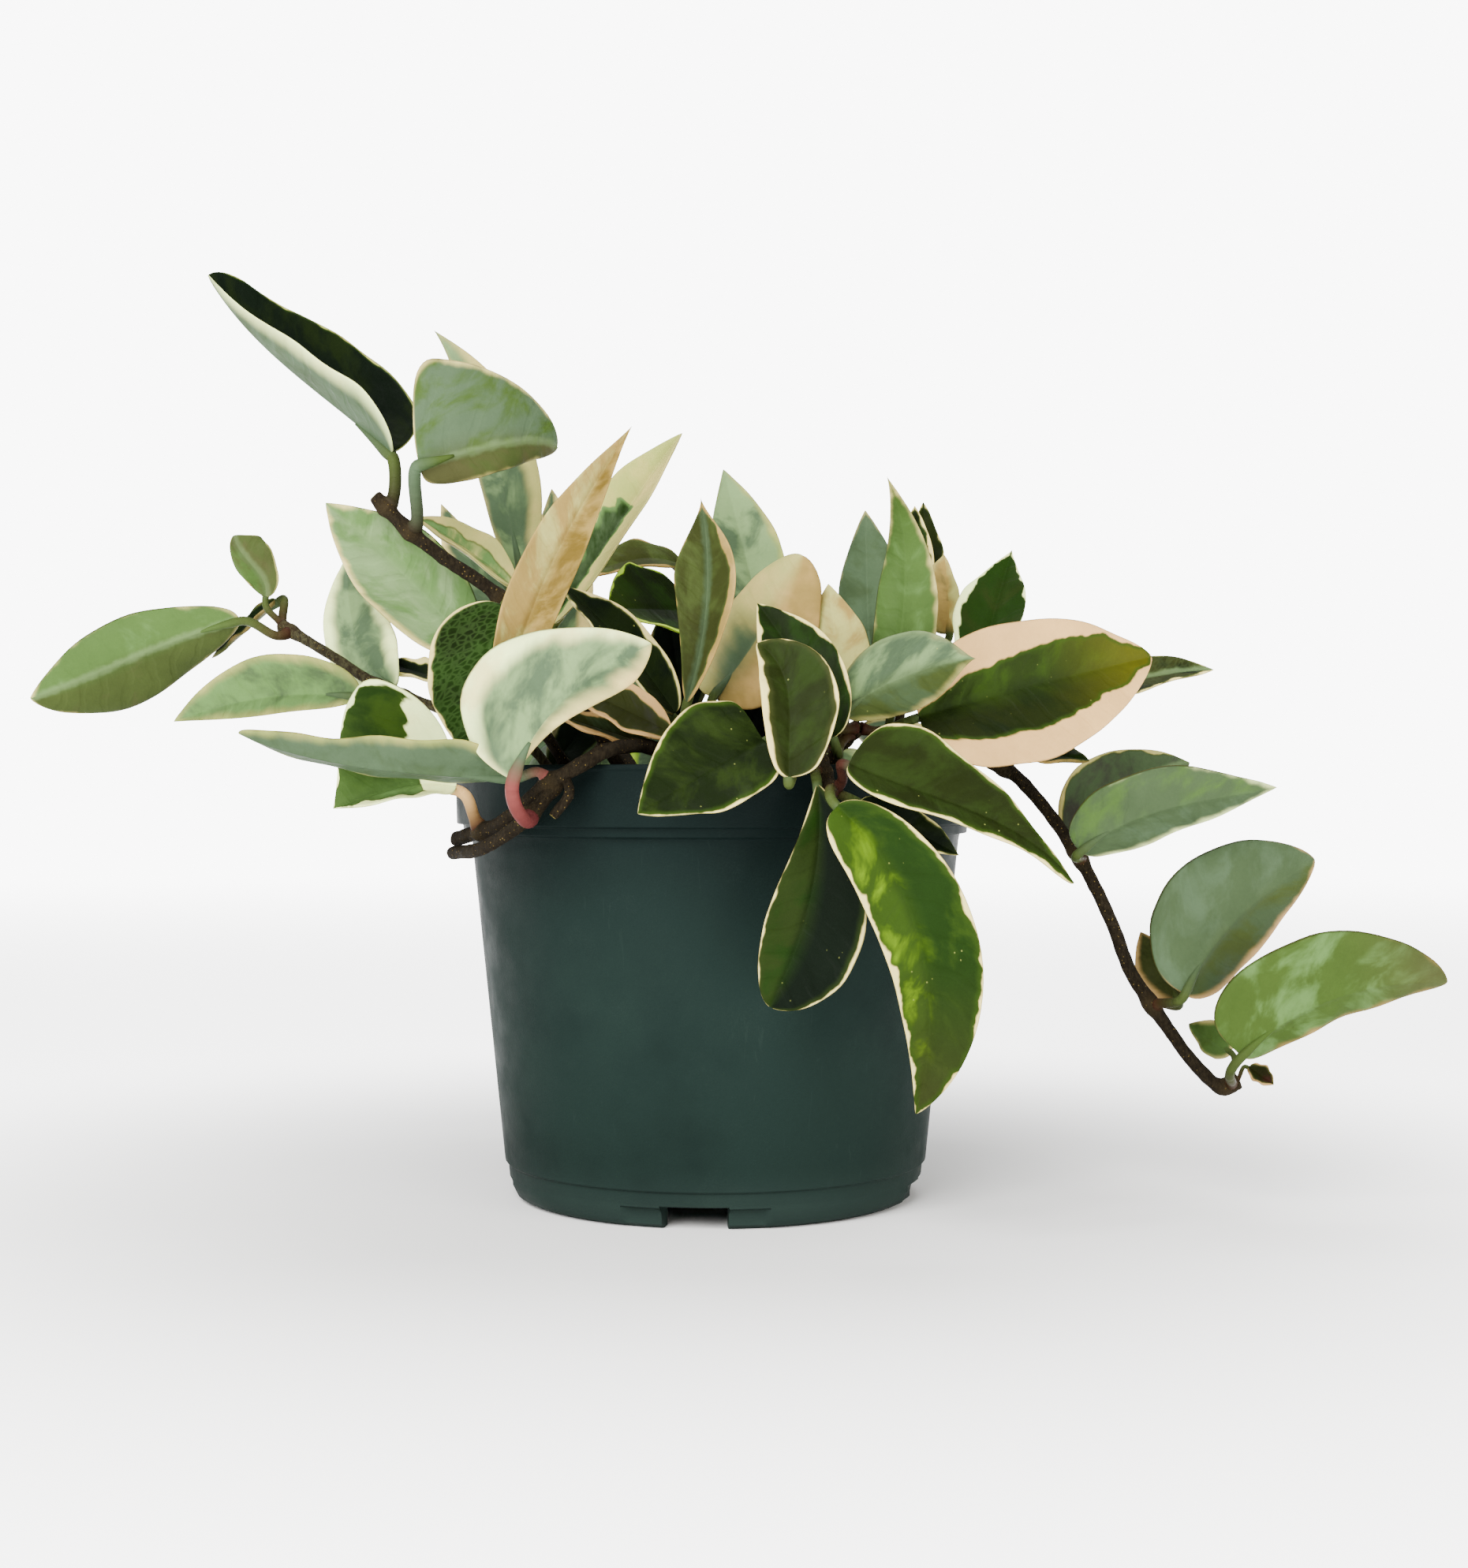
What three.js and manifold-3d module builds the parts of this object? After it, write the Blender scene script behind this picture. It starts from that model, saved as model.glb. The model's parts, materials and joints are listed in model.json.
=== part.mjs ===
// A trailing hoya with variegated leaves, in a round nursery pot. Millimetres, +Z up.
// The origin is at the middle of the pot's foot, on the surface that the pot stands on.
// -Y is the side that faces the viewer, and +X is the viewer's right.

import * as THREE from "three";
import { mergeVertices } from "three/addons/utils/BufferGeometryUtils.js";
import Module from "manifold-3d";

const wasm = await Module();
wasm.setup();

// ---------------------------------------------------------------- driving dimensions

const GAP = 0.3; // between pieces that rest on or in each other

const POT_HEIGHT = 135.6;
const RIM_RADIUS = 82.8;
const RIM_BAND_BOTTOM = 117.3;
const STEP_BOTTOM = 114.4;
const BODY_TOP_RADIUS = 77.2;
const BODY_BOTTOM_RADIUS = 66.8;
const LEDGE_HEIGHT = 11.2;
const FOOT_RADIUS = 60.5;
const FOOT_WIDTH = 4;
const FLOOR_HEIGHT = 7; // the underside of the pot's floor, above the foot ring
const WALL = 1.6;
const POT_SIDES = 48;

const DRAIN_COUNT = 4;
const DRAIN_TURN = THREE.MathUtils.degToRad(-5); // the first drain faces the viewer, a little left
const DRAIN_WIDTH = 19;
const DRAIN_DEPTH = 12; // how far the notch in the foot reaches inwards
const DRAIN_HOLE_DEPTH = 8; // the slot in the floor, inside the foot ring
const RECESS_WIDTH = 42;
const RECESS_RADIUS = 63.6;
const RECESS_DEPTH = 20;

const SOIL_TOP = 121.5;
const SOIL_EDGE_TOP = 119.5;
const ROOT_END = 106; // how low the stems reach into the mix
const ROOT_STRAIGHT = 116;

const STEM_SIDES = 8;
const STEM_STEP = 9; // between a stem's rings
const BRANCH_STEPS = 9;
const NEAREST_STEPS = 400;
const STALK_RADIUS = 1.3;
const STALK_SIDES = 5;
const STALK_STEPS = 4;
const STALK_REACH = 0.42; // how far each end of a stalk keeps its direction, as a share
const STALK_RUN_IN = 3; // how far a stalk runs on inside the blade
const BLADE_THICKNESS = 1.7;
const BLADE_ROWS = 6;
const BLADE_COLUMNS = 4;
const BLADE_REACH = 0.36; // how far each end of a midrib keeps its direction, as a share

// ---------------------------------------------------------------- colours

const COLOURS = {
  pot: 0x24413c,
  soil: 0x1d1712,
  stem: 0x4a3a2a,
  green: 0x3f5a25,
  pale: 0x9db488,
  cream: 0xe4d6b4,
};

function finish(colour, roughness) {
  return new THREE.MeshStandardMaterial({ color: COLOURS[colour], roughness, metalness: 0 });
}

// ---------------------------------------------------------------- solids and meshes

function toManifold(geometry) {
  const bare = geometry.clone();
  bare.deleteAttribute("normal");
  bare.deleteAttribute("uv");
  const merged = mergeVertices(bare, 1e-4);
  const index = merged.index.array;
  const triangles = [];
  for (let i = 0; i < index.length; i += 3) {
    const [a, b, c] = [index[i], index[i + 1], index[i + 2]];
    if (a !== b && b !== c && c !== a) {
      triangles.push(a, b, c);
    }
  }
  const vertProperties = new Float32Array(merged.attributes.position.array);
  const triVerts = new Uint32Array(triangles);
  return new wasm.Manifold(new wasm.Mesh({ numProp: 3, vertProperties, triVerts }));
}

function toMesh(name, solid, material) {
  const { vertProperties, triVerts } = solid.getMesh();
  const geometry = new THREE.BufferGeometry();
  geometry.setAttribute("position", new THREE.BufferAttribute(vertProperties, 3));
  geometry.setIndex(new THREE.BufferAttribute(triVerts, 1));
  geometry.computeVertexNormals();
  const mesh = new THREE.Mesh(geometry, material);
  mesh.name = name;
  return mesh;
}

function turned(points) {
  const profile = points.map(([radius, height]) => new THREE.Vector2(radius, height));
  return toManifold(new THREE.LatheGeometry(profile, POT_SIDES).rotateX(Math.PI / 2));
}

function tube(curve, radius, steps, sides) {
  const corners = [];
  for (let i = 0; i < sides; i++) {
    const angle = (2 * Math.PI * i) / sides;
    corners.push(new THREE.Vector2(radius * Math.cos(angle), radius * Math.sin(angle)));
  }
  const settings = { steps, bevelEnabled: false, extrudePath: curve };
  return toManifold(new THREE.ExtrudeGeometry(new THREE.Shape(corners), settings));
}

// ---------------------------------------------------------------- pot and potting mix

// The inside of the pot, from the middle of its floor to the top of its wall.
const INNER_PROFILE = [
  [60, FLOOR_HEIGHT + WALL],
  [63.6, FLOOR_HEIGHT + WALL + 1.5],
  [BODY_BOTTOM_RADIUS - WALL, LEDGE_HEIGHT + 2.6],
  [BODY_TOP_RADIUS - WALL, STEP_BOTTOM],
  [BODY_TOP_RADIUS + 2.8 - WALL, STEP_BOTTOM + WALL],
  [RIM_RADIUS - 0.8 - WALL, RIM_BAND_BOTTOM + WALL],
  [RIM_RADIUS - 0.2 - WALL, POT_HEIGHT],
];

function makePot() {
  const outer = [
    [0, FLOOR_HEIGHT],
    [FOOT_RADIUS - FOOT_WIDTH - 1, FLOOR_HEIGHT],
    [FOOT_RADIUS - FOOT_WIDTH, 0],
    [FOOT_RADIUS, 0],
    [63.4, 1.4],
    [65.2, 5],
    [BODY_BOTTOM_RADIUS - 1, LEDGE_HEIGHT],
    [BODY_BOTTOM_RADIUS, LEDGE_HEIGHT + 0.4],
    [BODY_TOP_RADIUS, STEP_BOTTOM - 2],
    [BODY_TOP_RADIUS + 0.4, STEP_BOTTOM],
    [BODY_TOP_RADIUS + 2.6, STEP_BOTTOM + 0.3],
    [BODY_TOP_RADIUS + 2.8, RIM_BAND_BOTTOM],
    [RIM_RADIUS - 0.8, RIM_BAND_BOTTOM + 0.3],
    [RIM_RADIUS - 0.4, POT_HEIGHT - 2],
    [RIM_RADIUS, POT_HEIGHT - 1.4],
    [RIM_RADIUS - 0.2, POT_HEIGHT],
  ];
  let pot = turned([...outer, ...[...INNER_PROFILE].reverse(), [0, FLOOR_HEIGHT + WALL]]);
  // The recess and the notch stop at the floor, and the hole goes through it.
  const notch = new THREE.BoxGeometry(DRAIN_WIDTH, 2 * DRAIN_DEPTH, 2 * FLOOR_HEIGHT);
  notch.translate(0, -FOOT_RADIUS, 0);
  const recess = new THREE.BoxGeometry(RECESS_WIDTH, RECESS_DEPTH, 2 * FLOOR_HEIGHT);
  recess.translate(0, -RECESS_RADIUS - RECESS_DEPTH / 2, 0);
  const hole = new THREE.BoxGeometry(DRAIN_WIDTH / 2, DRAIN_HOLE_DEPTH, 4 * WALL);
  hole.translate(0, FOOT_WIDTH + 2 + DRAIN_HOLE_DEPTH / 2 - FOOT_RADIUS, FLOOR_HEIGHT);
  for (let i = 0; i < DRAIN_COUNT; i++) {
    const turn = DRAIN_TURN + (2 * Math.PI * i) / DRAIN_COUNT;
    for (const cut of [recess, notch, hole]) {
      pot = pot.subtract(toManifold(cut.clone().rotateZ(turn)));
    }
  }
  return pot;
}

// The mix fills the pot's inside, a gap clear of the wall, and each stem has its own hole in it.
function makeSoil(stems) {
  const sides = INNER_PROFILE.slice(0, -1).map(([radius, height]) => [radius - GAP, height + GAP]);
  let soil = turned([
    [0, FLOOR_HEIGHT + WALL + GAP],
    ...sides,
    [RIM_RADIUS - 0.9 - WALL - GAP, SOIL_EDGE_TOP],
    [50, SOIL_TOP],
    [0, SOIL_TOP],
  ]);
  for (const stem of stems) {
    soil = soil.subtract(stem.hole);
  }
  return soil;
}

// ---------------------------------------------------------------- stems

// Each path starts just above the mix, and the root below it is straight.
const STEMS = {
  vine_upper_left: {
    radius: 2.1,
    path: [[-26, -10, 126], [-34, -14, 142], [-47, -19, 162], [-67, -23, 188], [-84, -26, 200],
      [-94, -28, 208], [-104, -30, 218]],
  },
  vine_lower_left: {
    radius: 1.6,
    path: [[-48, -14, 126], [-56, -16, 140], [-72, -19, 150], [-90, -22, 155], [-107, -20, 162],
      [-118, -16, 169], [-137, -8, 180]],
  },
  stub_front_left: {
    radius: 2.2,
    path: [[-10, -44, 126], [-13, -54, 137], [-20, -66, 141], [-30, -76.5, 139.6], [-38, -80.5, 135],
      [-46, -79.5, 130.5], [-60, -70, 119.5], [-77, -46, 113.5]],
    branches: [
      { radius: 2, path: [[-43, -79, 132], [-52, -80.5, 121], [-65.5, -70, 112], [-78, -48, 109.5]] },
      { radius: 1.4, path: [[-42, -79, 132], [-40.5, -84, 127], [-45, -84, 121]] },
    ],
  },
  vine_right: {
    radius: 2,
    path: [[44, -8, 126], [54, -9, 140], [66, -11, 145], [79, -13, 142.5], [87, -15, 137],
      [94, -19, 132], [103, -24, 121], [112, -28, 107], [121.5, -30, 87.5], [127, -30, 73],
      [134, -30, 62], [148, -30, 43], [155, -30, 37.5], [160, -30, 39.5]],
  },
  vine_front: {
    radius: 2.2,
    path: [[16, -28, 126], [22, -48, 138], [26, -64, 143], [28, -76, 142], [30, -86, 135],
      [33, -90, 127]],
  },
  stem_left: { radius: 1.8, path: [[-40, -36, 126], [-47, -48, 140], [-54, -56, 151]] },
  stem_centre: { radius: 1.8, path: [[-4, -22, 126], [-6, -34, 139], [-7, -43, 147]] },
  stem_back_centre: { radius: 1.8, path: [[8, 8, 126], [6, 6, 150], [4, 4, 170], [-2, 8, 186]] },
  stem_right_front: { radius: 1.8, path: [[32, -18, 126], [37, -32, 140], [43, -42, 147]] },
  stem_right_back: { radius: 1.8, path: [[52, 12, 126], [57, 8, 145], [62, 8, 165], [68, 12, 180]] },
  stem_back_left: {
    radius: 1.9,
    path: [[-24, 30, 126], [-32, 48, 140], [-42, 64, 146], [-48, 80, 144]],
  },
  stem_back_right: {
    radius: 1.9,
    path: [[26, 34, 126], [30, 52, 140], [34, 68, 146], [38, 84, 143]],
  },
};

function smoothCurve(points) {
  return new THREE.CatmullRomCurve3(points.map((point) => new THREE.Vector3(...point)));
}

function makeStem(name, { radius, path, branches = [] }) {
  const [x, y] = path[0];
  const curve = smoothCurve([[x, y, ROOT_END], [x, y, ROOT_STRAIGHT], ...path]);
  const steps = Math.round(curve.getLength() / STEM_STEP);
  let solid = tube(curve, radius, steps, STEM_SIDES);
  const curves = [{ curve, radius }];
  for (const branch of branches) {
    const branchCurve = smoothCurve(branch.path);
    curves.push({ curve: branchCurve, radius: branch.radius });
    solid = solid.add(tube(branchCurve, branch.radius, BRANCH_STEPS, STEM_SIDES));
  }
  const holeCurve = smoothCurve([[x, y, ROOT_END - GAP], [x, y, ROOT_STRAIGHT], ...path]);
  const hole = tube(holeCurve, radius + GAP, steps, STEM_SIDES);
  return { name, curves, solid, hole };
}

// ---------------------------------------------------------------- leaves

// A leaf's midrib runs from base to tip, and face is the way its upper side looks.
// from: the place on the stem that its stalk grows from.
// bend: degrees that the midrib starts above, and ends below, the straight line to the tip.
// sweep: the same to the side. fold: how far each half is raised at the midrib, and cup: how
// much further it turns by the margin. twist: how far the blade rolls from base to tip.
// halves: the halves' widths, as a share of half the width. A pair is for the right and left half.
// widest: the widest place, as a share of the length. heel and point: how pointed the ends are.
// joined: part of the stem's own node. out: the way that the stalk leaves the stem.
// tone: the blade's main colour, green unless stated.
const LEAVES = [
  // upper left vine
  { name: "leaf_upper_left_1", stem: "vine_upper_left", from: [-101, -29, 214.5],
    out: [-0.2, 0, 1], base: [-99, -26, 232], tip: [-153, -38, 284], face: [0.54, -0.69, 0.47],
    width: 44, halves: [0.91, 1.07],
    bend: [-19, -20], sweep: [19, -3], fold: [60, 0], cup: [17, 18], widest: [0.3, 0.3],
    heel: [0.75, 0.89], point: [0.95, 0.47] },
  { name: "leaf_upper_left_2", stem: "vine_upper_left", from: [-93, -28, 208],
    base: [-89.6, -36, 226.7], tip: [-50, -8, 236.5], face: [-0.25, 0.95, 0.15], width: 48,
    halves: [0.36, 1.25],
    bend: [-25, -35], sweep: [8, 20], fold: 5, cup: 12, widest: [0.3, 0.28], heel: [0.37, 1.17],
    point: [0.35, 0.74], tone: "pale" },
  { name: "leaf_upper_left_3", stem: "vine_upper_left", from: [-60, -21, 180],
    base: [-62, 6, 196], tip: [-92, 14, 278], face: [0.1, 0.95, 0.1], width: 19, halves: [1.3, 1],
    bend: [10, 10], sweep: [-4, -22], fold: 12, cup: 20, point: 1.1, tone: "pale" },
  { name: "leaf_upper_left_4", stem: "vine_upper_left", from: [-66, -23, 187],
    base: [-64, -8, 192], tip: [-96, -2, 215], face: [0.3, -0.6, 0.7], width: 17,
    bend: [10, 8], fold: 20, cup: 20, tone: "cream" },
  { name: "leaf_upper_left_5", stem: "vine_upper_left", from: [-46, -19, 161],
    base: [-76, -12, 172], tip: [-119, -30, 216], face: [0.25, 0.9, 0.3], width: 36,
    halves: [0.8, 1.15],
    bend: [15, 15], fold: 10, cup: 15, point: 0.9, tone: "pale" },
  { name: "leaf_upper_left_6", stem: "vine_upper_left", from: [-64, -22, 184],
    base: [-64, -38, 184], tip: [-72, -52, 140], face: [-0.1, -1, 0.25], width: 34, halves: [1.15, 1],
    bend: [25, 15], fold: 8, cup: 20, point: 0.55 },
  { name: "leaf_upper_left_7", stem: "vine_upper_left", from: [-54, -21, 172],
    base: [-50, -24, 180], tip: [-10, -26, 238], face: [-0.4, -0.8, 0.35], width: 30, halves: [0.75, 1],
    bend: [10, 10], sweep: [10, 5], fold: 25, cup: 25, point: 0.85, tone: "cream" },

  // lower left vine
  { name: "leaf_lower_left_1", stem: "vine_lower_left", from: [-134, -10, 179],
    out: [-0.2, -0.75, -0.6], base: [-151, -5, 182], tip: [-220, 3, 157.5],
    face: [-0.15, 0.9, 0.35], width: 29, halves: [0.92, 1.2],
    bend: [12, 12], sweep: [-4, 5], fold: 8, cup: 20, widest: [0.55, 0.62], heel: 0.43,
    point: [0.82, 0.67], tone: "pale" },
  { name: "leaf_lower_left_2", stem: "vine_lower_left", joined: true, from: [-136.5, -8, 179.5],
    base: [-142.7, -5, 189.4], tip: [-153, -4, 209], face: [0.2, -0.9, 0.3], width: 14,
    halves: [0.8, 1.2],
    sweep: [37, -20], widest: [0.41, 0.66], heel: [0.57, 0.3], point: [0.73, 0.5] },
  { name: "leaf_lower_left_3", stem: "vine_lower_left", from: [-104, -21, 161],
    base: [-109, -26, 157], tip: [-165, -32, 149], face: [0.05, 0.95, 0.3], width: 21,
    halves: [1.2, 0.65],
    bend: [8, 8], sweep: [-14, -12], tone: "pale" },
  { name: "leaf_lower_left_4", stem: "vine_lower_left", from: [-96, -21, 157],
    base: [-101, -10, 160], tip: [-119.9, 12, 204.1], face: [0, 1, 0.1], width: 24,
    sweep: [34, 16], tone: "pale" },
  { name: "leaf_lower_left_5", stem: "vine_lower_left", joined: true, from: [-136.5, -8, 179.5],
    base: [-141, 2, 189], tip: [-164, 13, 171], face: [0.3, -0.6, 0.8], width: 8 },
  { name: "leaf_lower_left_6", stem: "vine_lower_left", from: [-84, -21, 154], joined: true,
    base: [-86, -6, 163], tip: [-107, 8, 169], face: [0, -0.6, 0.8], width: 12 },

  // forked stub over the front left rim
  { name: "leaf_front_left_1", stem: "stub_front_left", from: [-52, -80.5, 121],
    out: [-0.3, -0.7, -0.7], base: [-55, -95, 131], tip: [-17, -90, 169], face: [0, 1, 0.1],
    width: 34, halves: [0.52, 1.6],
    bend: [8, 8], sweep: [28, 22], fold: 10, cup: 25, widest: [0.75, 0.34], heel: [0.45, 1.2],
    point: [0.72, 0.82], tone: "pale" },
  { name: "leaf_front_left_2", stem: "stub_front_left", from: [-46, -79, 130.5],
    base: [-57.5, -79, 132.5], tip: [-128.6, -106, 144], face: [0.05, 0.5, 0.85], width: 24,
    halves: [1.03, 1.02],
    bend: [-8, -5], sweep: [-2, 16], widest: 0.28, heel: [1.2, 0.34], point: [0.51, 0.83],
    tone: "pale" },
  { name: "leaf_front_left_3", stem: "stub_front_left", from: [-68, -60, 117],
    base: [-75, -62, 129], tip: [-108, -78, 123], face: [0.05, -0.82, 0.57], width: 50,
    halves: [0.41, 1.28],
    sweep: [32, 4], fold: 30, cup: 10, widest: [0.41, 0.47], heel: [0.35, 0.96], point: [1.1, 1.04] },

  // crown: left and centre
  { name: "leaf_left_1", stem: "stem_left", from: [-54, -56, 149],
    base: [-60.0, -66, 157.9], tip: [-24.2, -52, 236], face: [0.2, -0.95, 0.1], width: 23,
    halves: [1, 0.8],
    bend: [8, 8], sweep: [-10, -8], fold: 25, cup: 20, widest: 0.35, point: 1.1, tone: "cream" },
  { name: "leaf_centre_1", stem: "stem_centre", from: [-7, -42, 146],
    base: [-12, -46, 151], tip: [-46, -44, 189.5], face: [0.45, -0.6, 0.65], width: 22,
    bend: [10, 10] },
  { name: "leaf_centre_2", stem: "stem_centre", from: [-7, -43, 147],
    out: [0, -0.2, 1], base: [-8, -57, 154], tip: [-4, -52, 215], face: [-0.1, -1, 0.1], width: 23,
    sweep: [14, 14], fold: 28, cup: 20, widest: 0.58, point: 1.6 },
  { name: "leaf_centre_3", stem: "stem_centre", from: [-6, -38, 143],
    base: [0, -46, 156], tip: [27, -30, 200], face: [0.1, 0.9, -0.2], width: 38,
    bend: [25, 25], fold: 10, cup: 35, heel: 0.7, point: 0.5, tone: "pale" },
  { name: "leaf_centre_4", stem: "stem_centre", from: [-6, -36, 141], joined: true,
    base: [-13, -60, 145], tip: [-44, -74, 160], face: [-0.2, -0.8, 0.6], width: 18 },
  { name: "leaf_centre_5", stem: "stem_centre", from: [-6, -34, 139], joined: true,
    base: [-18, -56, 141], tip: [-46, -70, 150], face: [-0.2, -0.7, 0.7], width: 12 },

  // crown: behind the centre
  { name: "leaf_back_centre_1", stem: "stem_back_centre", from: [-2, 8, 186],
    base: [-10.4, 24, 200.9], tip: [-43.5, 2, 196.0], face: [0, -0.7, 0.7], width: 16,
    bend: [35, 25] },
  { name: "leaf_back_centre_2", stem: "stem_back_centre", from: [1, 6, 178],
    base: [-7.4, 5, 185.6], tip: [-32.1, -30, 183.6], face: [-0.1, -0.9, 0.4], width: 34,
    point: 0.7 },
  { name: "leaf_back_centre_3", stem: "stem_back_centre", from: [4, 4, 166],
    base: [15.8, -6, 179.7], tip: [2.4, 18, 233.2], face: [0.1, 1, 0.1], width: 25,
    fold: 15, tone: "pale" },

  // crown: right front
  { name: "leaf_right_front_1", stem: "stem_right_front", from: [42, -40, 146],
    base: [34.6, -66, 143.5], tip: [12.7, -56, 183.1], face: [0.1, -1, 0.1], width: 24,
    sweep: [8, 8] },
  { name: "leaf_right_front_2", stem: "stem_right_front", from: [43, -42, 147],
    base: [37.7, -58, 150.6], tip: [75.4, -72, 166.0], face: [0.1, 0.9, -0.1], width: 38,
    halves: [0.6, 0.92],
    bend: [15, 10], sweep: [20, 15], fold: 25, cup: 15, point: 1.3, tone: "pale" },
  { name: "leaf_right_front_3", stem: "stem_right_front", from: [43, -42, 147],
    base: [61, -46, 150], tip: [132.5, -36, 168.5], face: [-0.05, -1, 0.15], width: 46,
    halves: [0.9, 1.03],
    bend: [10, 10], fold: 6, cup: 12, widest: 0.4, point: 0.7, tone: "cream" },
  { name: "leaf_right_front_4", stem: "stem_right_front", from: [40, -36, 143],
    base: [39.6, -30, 153.9], tip: [35.1, -22, 192.0], face: [0, 1, 0], width: 22 },

  // front vine, over the rim
  { name: "leaf_front_1", stem: "vine_front", from: [30, -84, 136],
    base: [20.9, -99, 131.9], tip: [12.4, -86, 169.6], face: [0.1, -1, 0.1], width: 28,
    halves: [0.59, 1.0],
    sweep: [10.5, 44], widest: [0.5, 0.5], heel: [0.36, 0.3], point: [0.57, 0.9] },
  { name: "leaf_front_2", stem: "vine_front", from: [28, -78, 141],
    base: [14, -88, 142], tip: [-20, -110, 122], face: [-0.1, -0.95, 0.3], width: 30, halves: [1, 1.2],
    widest: [0.38, 0.3], heel: 0.3, point: 0.8 },
  { name: "leaf_front_3", stem: "vine_front", from: [33, -89, 128],
    out: [1, -0.5, 0.4], base: [37.3, -100, 135.6], tip: [98.5, -104, 103],
    face: [0.1, -0.85, 0.5], width: 30, halves: [1.15, 0.56],
    sweep: [-4, -28], widest: [0.2, 0.21], heel: [1.2, 0.74], point: [1.45, 0.44] },
  { name: "leaf_front_4", stem: "vine_front", from: [31, -87, 133],
    out: [-0.5, -0.6, 0.2], base: [29, -94, 130], tip: [16, -92, 68], face: [0, -1, 0.1],
    width: 31, halves: [1.15, 0.72],
    sweep: [-18, -14], widest: 0.64, point: 0.55 },
  { name: "leaf_front_5", stem: "vine_front", from: [33, -90, 127],
    out: [0.25, -0.8, -0.5], base: [34, -102, 124], tip: [56, -96, 39], face: [-0.1, -1, 0.15],
    width: 33, halves: [1, 0.72],
    bend: [12, 8], sweep: [-35, -30], widest: [0.5, 0.3], point: 0.8 },
  { name: "leaf_front_6", stem: "vine_front", from: [33, -89, 128], joined: true,
    base: [41, -90, 125], tip: [69, -86, 110], face: [0, -0.9, 0.4], width: 12 },

  // crown: right back
  { name: "leaf_right_back_1", stem: "stem_right_back", from: [56, 9, 143],
    base: [56, -14, 158], tip: [54, -10, 227], face: [0.1, 1, 0], width: 23, halves: [1, 0.85],
    sweep: [-8, -22], widest: 0.3, point: 1.1, tone: "pale" },
  { name: "leaf_right_back_2", stem: "stem_right_back", from: [58, 8, 152],
    base: [49.9, 12, 169.5], tip: [50.0, 36, 222.0], face: [0.1, 1, 0], width: 28, halves: [1, 0.8],
    fold: 20, tone: "pale" },
  { name: "leaf_right_back_3", stem: "stem_right_back", from: [66, 10, 175],
    base: [76, 14, 179], tip: [75.5, 26, 206], face: [-0.1, 1, 0.1], width: 22, halves: [0.45, 1],
    tone: "cream" },
  { name: "leaf_right_back_4", stem: "stem_right_back", from: [62, 8, 165],
    base: [82.5, -8, 163.4], tip: [97.3, 20, 207.0], face: [-0.2, -0.9, 0.35], width: 30,
    halves: [0.85, 0.7],
    point: 1.2 },
  { name: "leaf_right_back_5", stem: "stem_right_back", joined: true, from: [67, 12, 179],
    base: [66, 28, 184], tip: [67, 40, 224], face: [-0.2, -0.9, 0.3], width: 14 },
  { name: "leaf_right_back_6", stem: "stem_right_back", joined: true, from: [68, 12, 180],
    base: [70, 36, 184], tip: [71, 54, 227], face: [0.2, -0.9, 0.3], width: 14 },

  // right vine
  { name: "leaf_right_1", stem: "vine_right", from: [90, -16, 135],
    base: [104, -6, 152], tip: [157, -10, 166], face: [-0.1, -0.6, 0.75], width: 20,
    bend: [15, 15], tone: "pale" },
  { name: "leaf_right_2", stem: "vine_right", from: [87, -15, 137], joined: true,
    base: [90, -24, 140], tip: [114, -34, 137], face: [0, -0.5, 0.85], width: 16 },
  { name: "leaf_right_3", stem: "vine_right", from: [112, -28, 107],
    base: [110, -40, 110], tip: [167, -50, 129], face: [-0.05, 0.9, 0.4], width: 28,
    halves: [0.9, 0.92],
    sweep: [25, 10], widest: 0.35, tone: "pale" },
  { name: "leaf_right_4", stem: "vine_right", from: [111, -27, 109],
    base: [112, -14, 112], tip: [154, 12, 137], face: [0.2, -0.8, 0.5], width: 34, halves: [0.75, 1],
    sweep: [-35, -15] },
  { name: "leaf_right_5", stem: "vine_right", from: [134, -30, 62],
    base: [141, -42, 67], tip: [184, -28, 107], face: [0, 0.95, 0.2], width: 44, halves: [0.7, 1.02],
    bend: [12, 12], sweep: [15, 10], point: 0.6, tone: "pale" },
  { name: "leaf_right_6", stem: "vine_right", from: [158, -30, 38],
    out: [0, -1, 0.3], base: [156.1, -50, 49.5], tip: [218.9, -46, 70.9], face: [0, 0.9, 0.35],
    width: 32, halves: [0.68, 1.25],
    sweep: [30, 25], widest: [0.4, 0.34], heel: [0.5, 0.35], point: 0.6, tone: "pale" },
  { name: "leaf_right_7", stem: "vine_right", from: [133, -30, 63], joined: true,
    base: [144, -18, 63], tip: [135, -4, 83], face: [0, 1, 0], width: 16 },
  { name: "leaf_right_8", stem: "vine_right", joined: true, from: [156, -30, 38],
    base: [160, -20, 47], tip: [150, -6, 54], face: [0, 1, 0.2], width: 12 },
  { name: "leaf_right_9", stem: "vine_right", from: [160, -30, 39], joined: true,
    base: [164, -27, 43], tip: [171, -30, 38], face: [0, -0.8, 0.5], width: 7 },

  // dark leaves low in the crown, seen between the front ones
  { name: "leaf_inner_1", stem: "stem_back_centre", joined: true, from: [6, 6, 147],
    base: [-10, 12, 152], tip: [-16, 14, 188], face: [0.1, -1, 0.1], width: 22 },
  { name: "leaf_inner_2", stem: "vine_lower_left", joined: true, from: [-50, -14.5, 131],
    base: [-52, -4, 135], tip: [-36, 2, 156], face: [0, -1, 0.2], width: 15 },
  { name: "leaf_inner_3", stem: "stem_back_centre", joined: true, from: [7, 7, 140],
    base: [8, -2, 141], tip: [17, -6, 162], face: [0, -1, 0.2], width: 16 },

  // back of the crown
  { name: "leaf_back_left_1", stem: "stem_back_left", from: [-36, 54, 142],
    base: [-54, 44, 156], tip: [-95.5, 58, 227], face: [-0.5, 0.8, 0.3], width: 27,
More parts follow.
